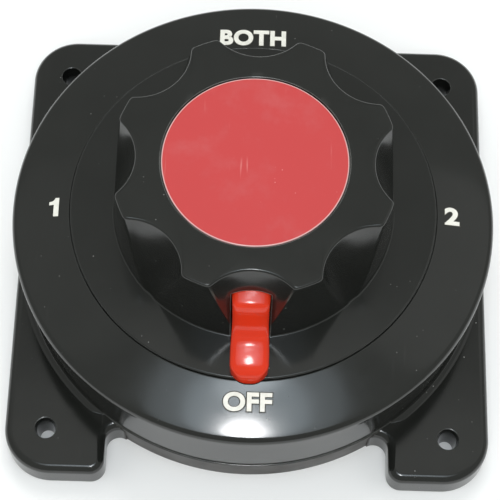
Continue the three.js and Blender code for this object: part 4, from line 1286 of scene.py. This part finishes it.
# Name, place, aim, width, depth, brightness, colour, and whether glossy surfaces mirror it.
LIGHTS = (
    ("soft_box", (0.0, -0.183, 1.10), (0.0, -0.056, 0.036), 0.62, 0.56, 1.3, (0.80, 0.92, 1.0), True),
    ("soft_core", (0.0, -0.175, 1.05), (0.0, -0.056, 0.036), 0.36, 0.34, 2.1, (0.76, 0.90, 1.0), True),
    ("lamp", (-0.004, -0.232, 0.93), (0.0, -0.056, 0.036), 0.12, 0.11, 40.0, (1.0, 1.0, 1.0), True),
    ("upper_lamp", (0.006, -0.066, 0.94), (0.0, -0.051, 0.036), 0.17, 0.06, 6.5, (0.88, 0.95, 1.0), True),
    ("rear_panel", (0.0, 0.265, 1.0), (0.0, -0.05, 0.03), 0.46, 0.16, 0.30, (1.0, 1.0, 0.97), True),
    ("rear_fill", (0.0, 0.80, 1.05), (0.0, 0.0, 0.02), 0.90, 0.90, 3.2, (1.0, 1.0, 0.99), False),
    ("front_fill", (0.0, -0.80, 1.05), (0.0, 0.0, 0.02), 0.90, 0.90, 2.5, (1.0, 1.0, 0.99), False),
    ("right_panel", (0.58, 0.31, 1.0), (0.0, 0.0, 0.03), 0.70, 0.70, 0.24, (1.0, 1.0, 0.98), True),
    ("left_panel", (-0.58, 0.31, 1.0), (0.0, 0.0, 0.03), 0.70, 0.70, 0.10, (1.0, 1.0, 0.98), True),
    ("left_fill", (-1.0, -0.2, 0.70), (0.0, 0.0, 0.02), 0.8, 0.8, 1.1, (1.0, 1.0, 1.0), False),
    ("right_fill", (1.0, -0.2, 0.70), (0.0, 0.0, 0.02), 0.8, 0.8, 1.1, (1.0, 1.0, 1.0), False),
)


def area_light(name, place, aim, width, depth, radiance, rgb, mirrored):
    """A round soft light, whose power is worked out from its brightness and its area."""
    data = bpy.data.lights.new(name, "AREA")
    data.shape = "ELLIPSE"
    data.size = width
    data.size_y = depth
    data.energy = radiance * math.pi * math.pi * width * depth / 4
    data.color = rgb
    lamp = bpy.data.objects.new(name, data)
    lamp.location = place
    lamp.rotation_euler = (Vector(aim) - Vector(place)).to_track_quat("-Z", "Y").to_euler()
    lamp.visible_glossy = mirrored
    bpy.context.scene.collection.objects.link(lamp)


CAMERA_LENS = 128.3
WORLD_COLOUR = (0.97, 1.0, 0.96, 1.0)
WORLD_STRENGTH = 0.37
FLOOR_R = 9000.0
FLOOR_TOP = -0.05
FLOOR_BOTTOM = -20.0


def build_camera():
    """Places the camera by its elevation, azimuth, roll and distance from a point over the origin."""
    elevation, azimuth, roll = math.radians(65.844), math.radians(-0.408), math.radians(2.058)
    distance, aside, below, focus_height = 495.66, -0.856, -8.622, 30.0
    back = Vector((math.sin(azimuth) * math.cos(elevation), -math.cos(azimuth) * math.cos(elevation),
                   math.sin(elevation)))
    right = (-back).cross(Vector((0, 0, 1))).normalized()
    up = right.cross(-back)
    turned_right = math.cos(roll) * right + math.sin(roll) * up
    turned_up = -math.sin(roll) * right + math.cos(roll) * up
    place = back * distance + Vector((0, 0, focus_height)) + turned_right * aside + turned_up * below
    data = bpy.data.cameras.new("view")
    data.lens = CAMERA_LENS
    data.sensor_width = 36.0
    data.clip_start = 0.01
    data.clip_end = 100.0
    camera = bpy.data.objects.new("view", data)
    axes = Matrix((turned_right, turned_up, back)).transposed()
    camera.matrix_world = Matrix.Translation(place * MM) @ axes.to_4x4()
    bpy.context.scene.collection.objects.link(camera)
    bpy.context.scene.camera = camera


def floor_sheet(mesh):
    """A wide round sheet just under the mounting plane, thin enough to count as ground."""
    turned(mesh, [(0.0, FLOOR_BOTTOM), (FLOOR_R, FLOOR_BOTTOM), (FLOOR_R, FLOOR_TOP), (0.0, FLOOR_TOP)], 64)


def build_stage():
    scene = bpy.context.scene
    floor = solid("floor", floor_sheet)
    floor.data.materials.append(finish_for("floor"))
    world = bpy.data.worlds.new("studio")
    world.use_nodes = True
    sky = world.node_tree.nodes["Background"]
    sky.inputs["Color"].default_value = WORLD_COLOUR
    sky.inputs["Strength"].default_value = WORLD_STRENGTH
    scene.world = world
    for light in LIGHTS:
        area_light(*light)
    scene.view_settings.view_transform = "Standard"
    build_camera()


# ---------- operators, panel and registration ----------


class StepOptions:
    """What every step's operator shares."""

    bl_options = {"REGISTER", "UNDO"}


class BATTERY_SWITCH_OT_housing(StepOptions, bpy.types.Operator):
    """Make the drum and its four feet"""

    bl_idname = "battery_switch.housing"
    bl_label = "Housing"

    def execute(self, context):
        build_housing()
        return {"FINISHED"}


class BATTERY_SWITCH_OT_cover(StepOptions, bpy.types.Operator):
    """Make the dial cover with its neck and screw bosses"""

    bl_idname = "battery_switch.cover"
    bl_label = "Dial Cover"

    def execute(self, context):
        build_cover()
        return {"FINISHED"}


class BATTERY_SWITCH_OT_legends(StepOptions, bpy.types.Operator):
    """Lay the letters and numbers on the dial"""

    bl_idname = "battery_switch.legends"
    bl_label = "Legends"

    def execute(self, context):
        build_legends()
        return {"FINISHED"}


class BATTERY_SWITCH_OT_knob(StepOptions, bpy.types.Operator):
    """Make the lobed knob and its label"""

    bl_idname = "battery_switch.knob"
    bl_label = "Knob"

    def execute(self, context):
        build_knob()
        build_label()
        return {"FINISHED"}


class BATTERY_SWITCH_OT_pointer(StepOptions, bpy.types.Operator):
    """Make the pointer"""

    bl_idname = "battery_switch.pointer"
    bl_label = "Pointer"

    def execute(self, context):
        build_pointer()
        return {"FINISHED"}


class BATTERY_SWITCH_OT_terminals(StepOptions, bpy.types.Operator):
    """Make the studs with their nuts and washers"""

    bl_idname = "battery_switch.terminals"
    bl_label = "Terminals"

    def execute(self, context):
        build_terminals()
        return {"FINISHED"}


class BATTERY_SWITCH_OT_underside(StepOptions, bpy.types.Operator):
    """Make the terminal board and the cover screws"""

    bl_idname = "battery_switch.underside"
    bl_label = "Underside"

    def execute(self, context):
        build_board()
        build_cover_screws()
        return {"FINISHED"}


class BATTERY_SWITCH_OT_kept_nodes(StepOptions, bpy.types.Operator):
    """Finish the frame's nodes that are still shown"""

    bl_idname = "battery_switch.kept_nodes"
    bl_label = "Kept Nodes"

    def execute(self, context):
        finish_kept_nodes()
        return {"FINISHED"}


class BATTERY_SWITCH_OT_stage(StepOptions, bpy.types.Operator):
    """Set the floor, the lights and the camera"""

    bl_idname = "battery_switch.stage"
    bl_label = "Stage"

    def execute(self, context):
        build_stage()
        return {"FINISHED"}


OPERATORS = (
    BATTERY_SWITCH_OT_housing, BATTERY_SWITCH_OT_cover, BATTERY_SWITCH_OT_legends,
    BATTERY_SWITCH_OT_knob, BATTERY_SWITCH_OT_pointer, BATTERY_SWITCH_OT_terminals,
    BATTERY_SWITCH_OT_underside, BATTERY_SWITCH_OT_kept_nodes, BATTERY_SWITCH_OT_stage)


class BATTERY_SWITCH_PT_panel(bpy.types.Panel):
    """Lists the switch's operators and settings in the sidebar."""

    bl_label = "Battery Switch"
    bl_space_type = "VIEW_3D"
    bl_region_type = "UI"
    bl_category = "Battery Switch"

    def draw(self, context):
        layout = self.layout
        for made in OPERATORS:
            layout.operator(made.bl_idname)
        for group in (context.scene.switch_sizes, context.scene.switch_colours):
            for key in group.bl_rna.properties.keys():
                if key not in ("rna_type", "name"):
                    layout.prop(group, key)


CLASSES = (SwitchSizes, SwitchColours, *OPERATORS, BATTERY_SWITCH_PT_panel)


def register():
    for made in CLASSES:
        bpy.utils.register_class(made)
    bpy.types.Scene.switch_sizes = PointerProperty(type=SwitchSizes)
    bpy.types.Scene.switch_colours = PointerProperty(type=SwitchColours)


def unregister():
    del bpy.types.Scene.switch_colours
    del bpy.types.Scene.switch_sizes
    for made in reversed(CLASSES):
        bpy.utils.unregister_class(made)


def main():
    register()
    for made in OPERATORS:
        group, name = made.bl_idname.split(".")
        getattr(getattr(bpy.ops, group), name)()


if __name__ == "__main__":
    main()
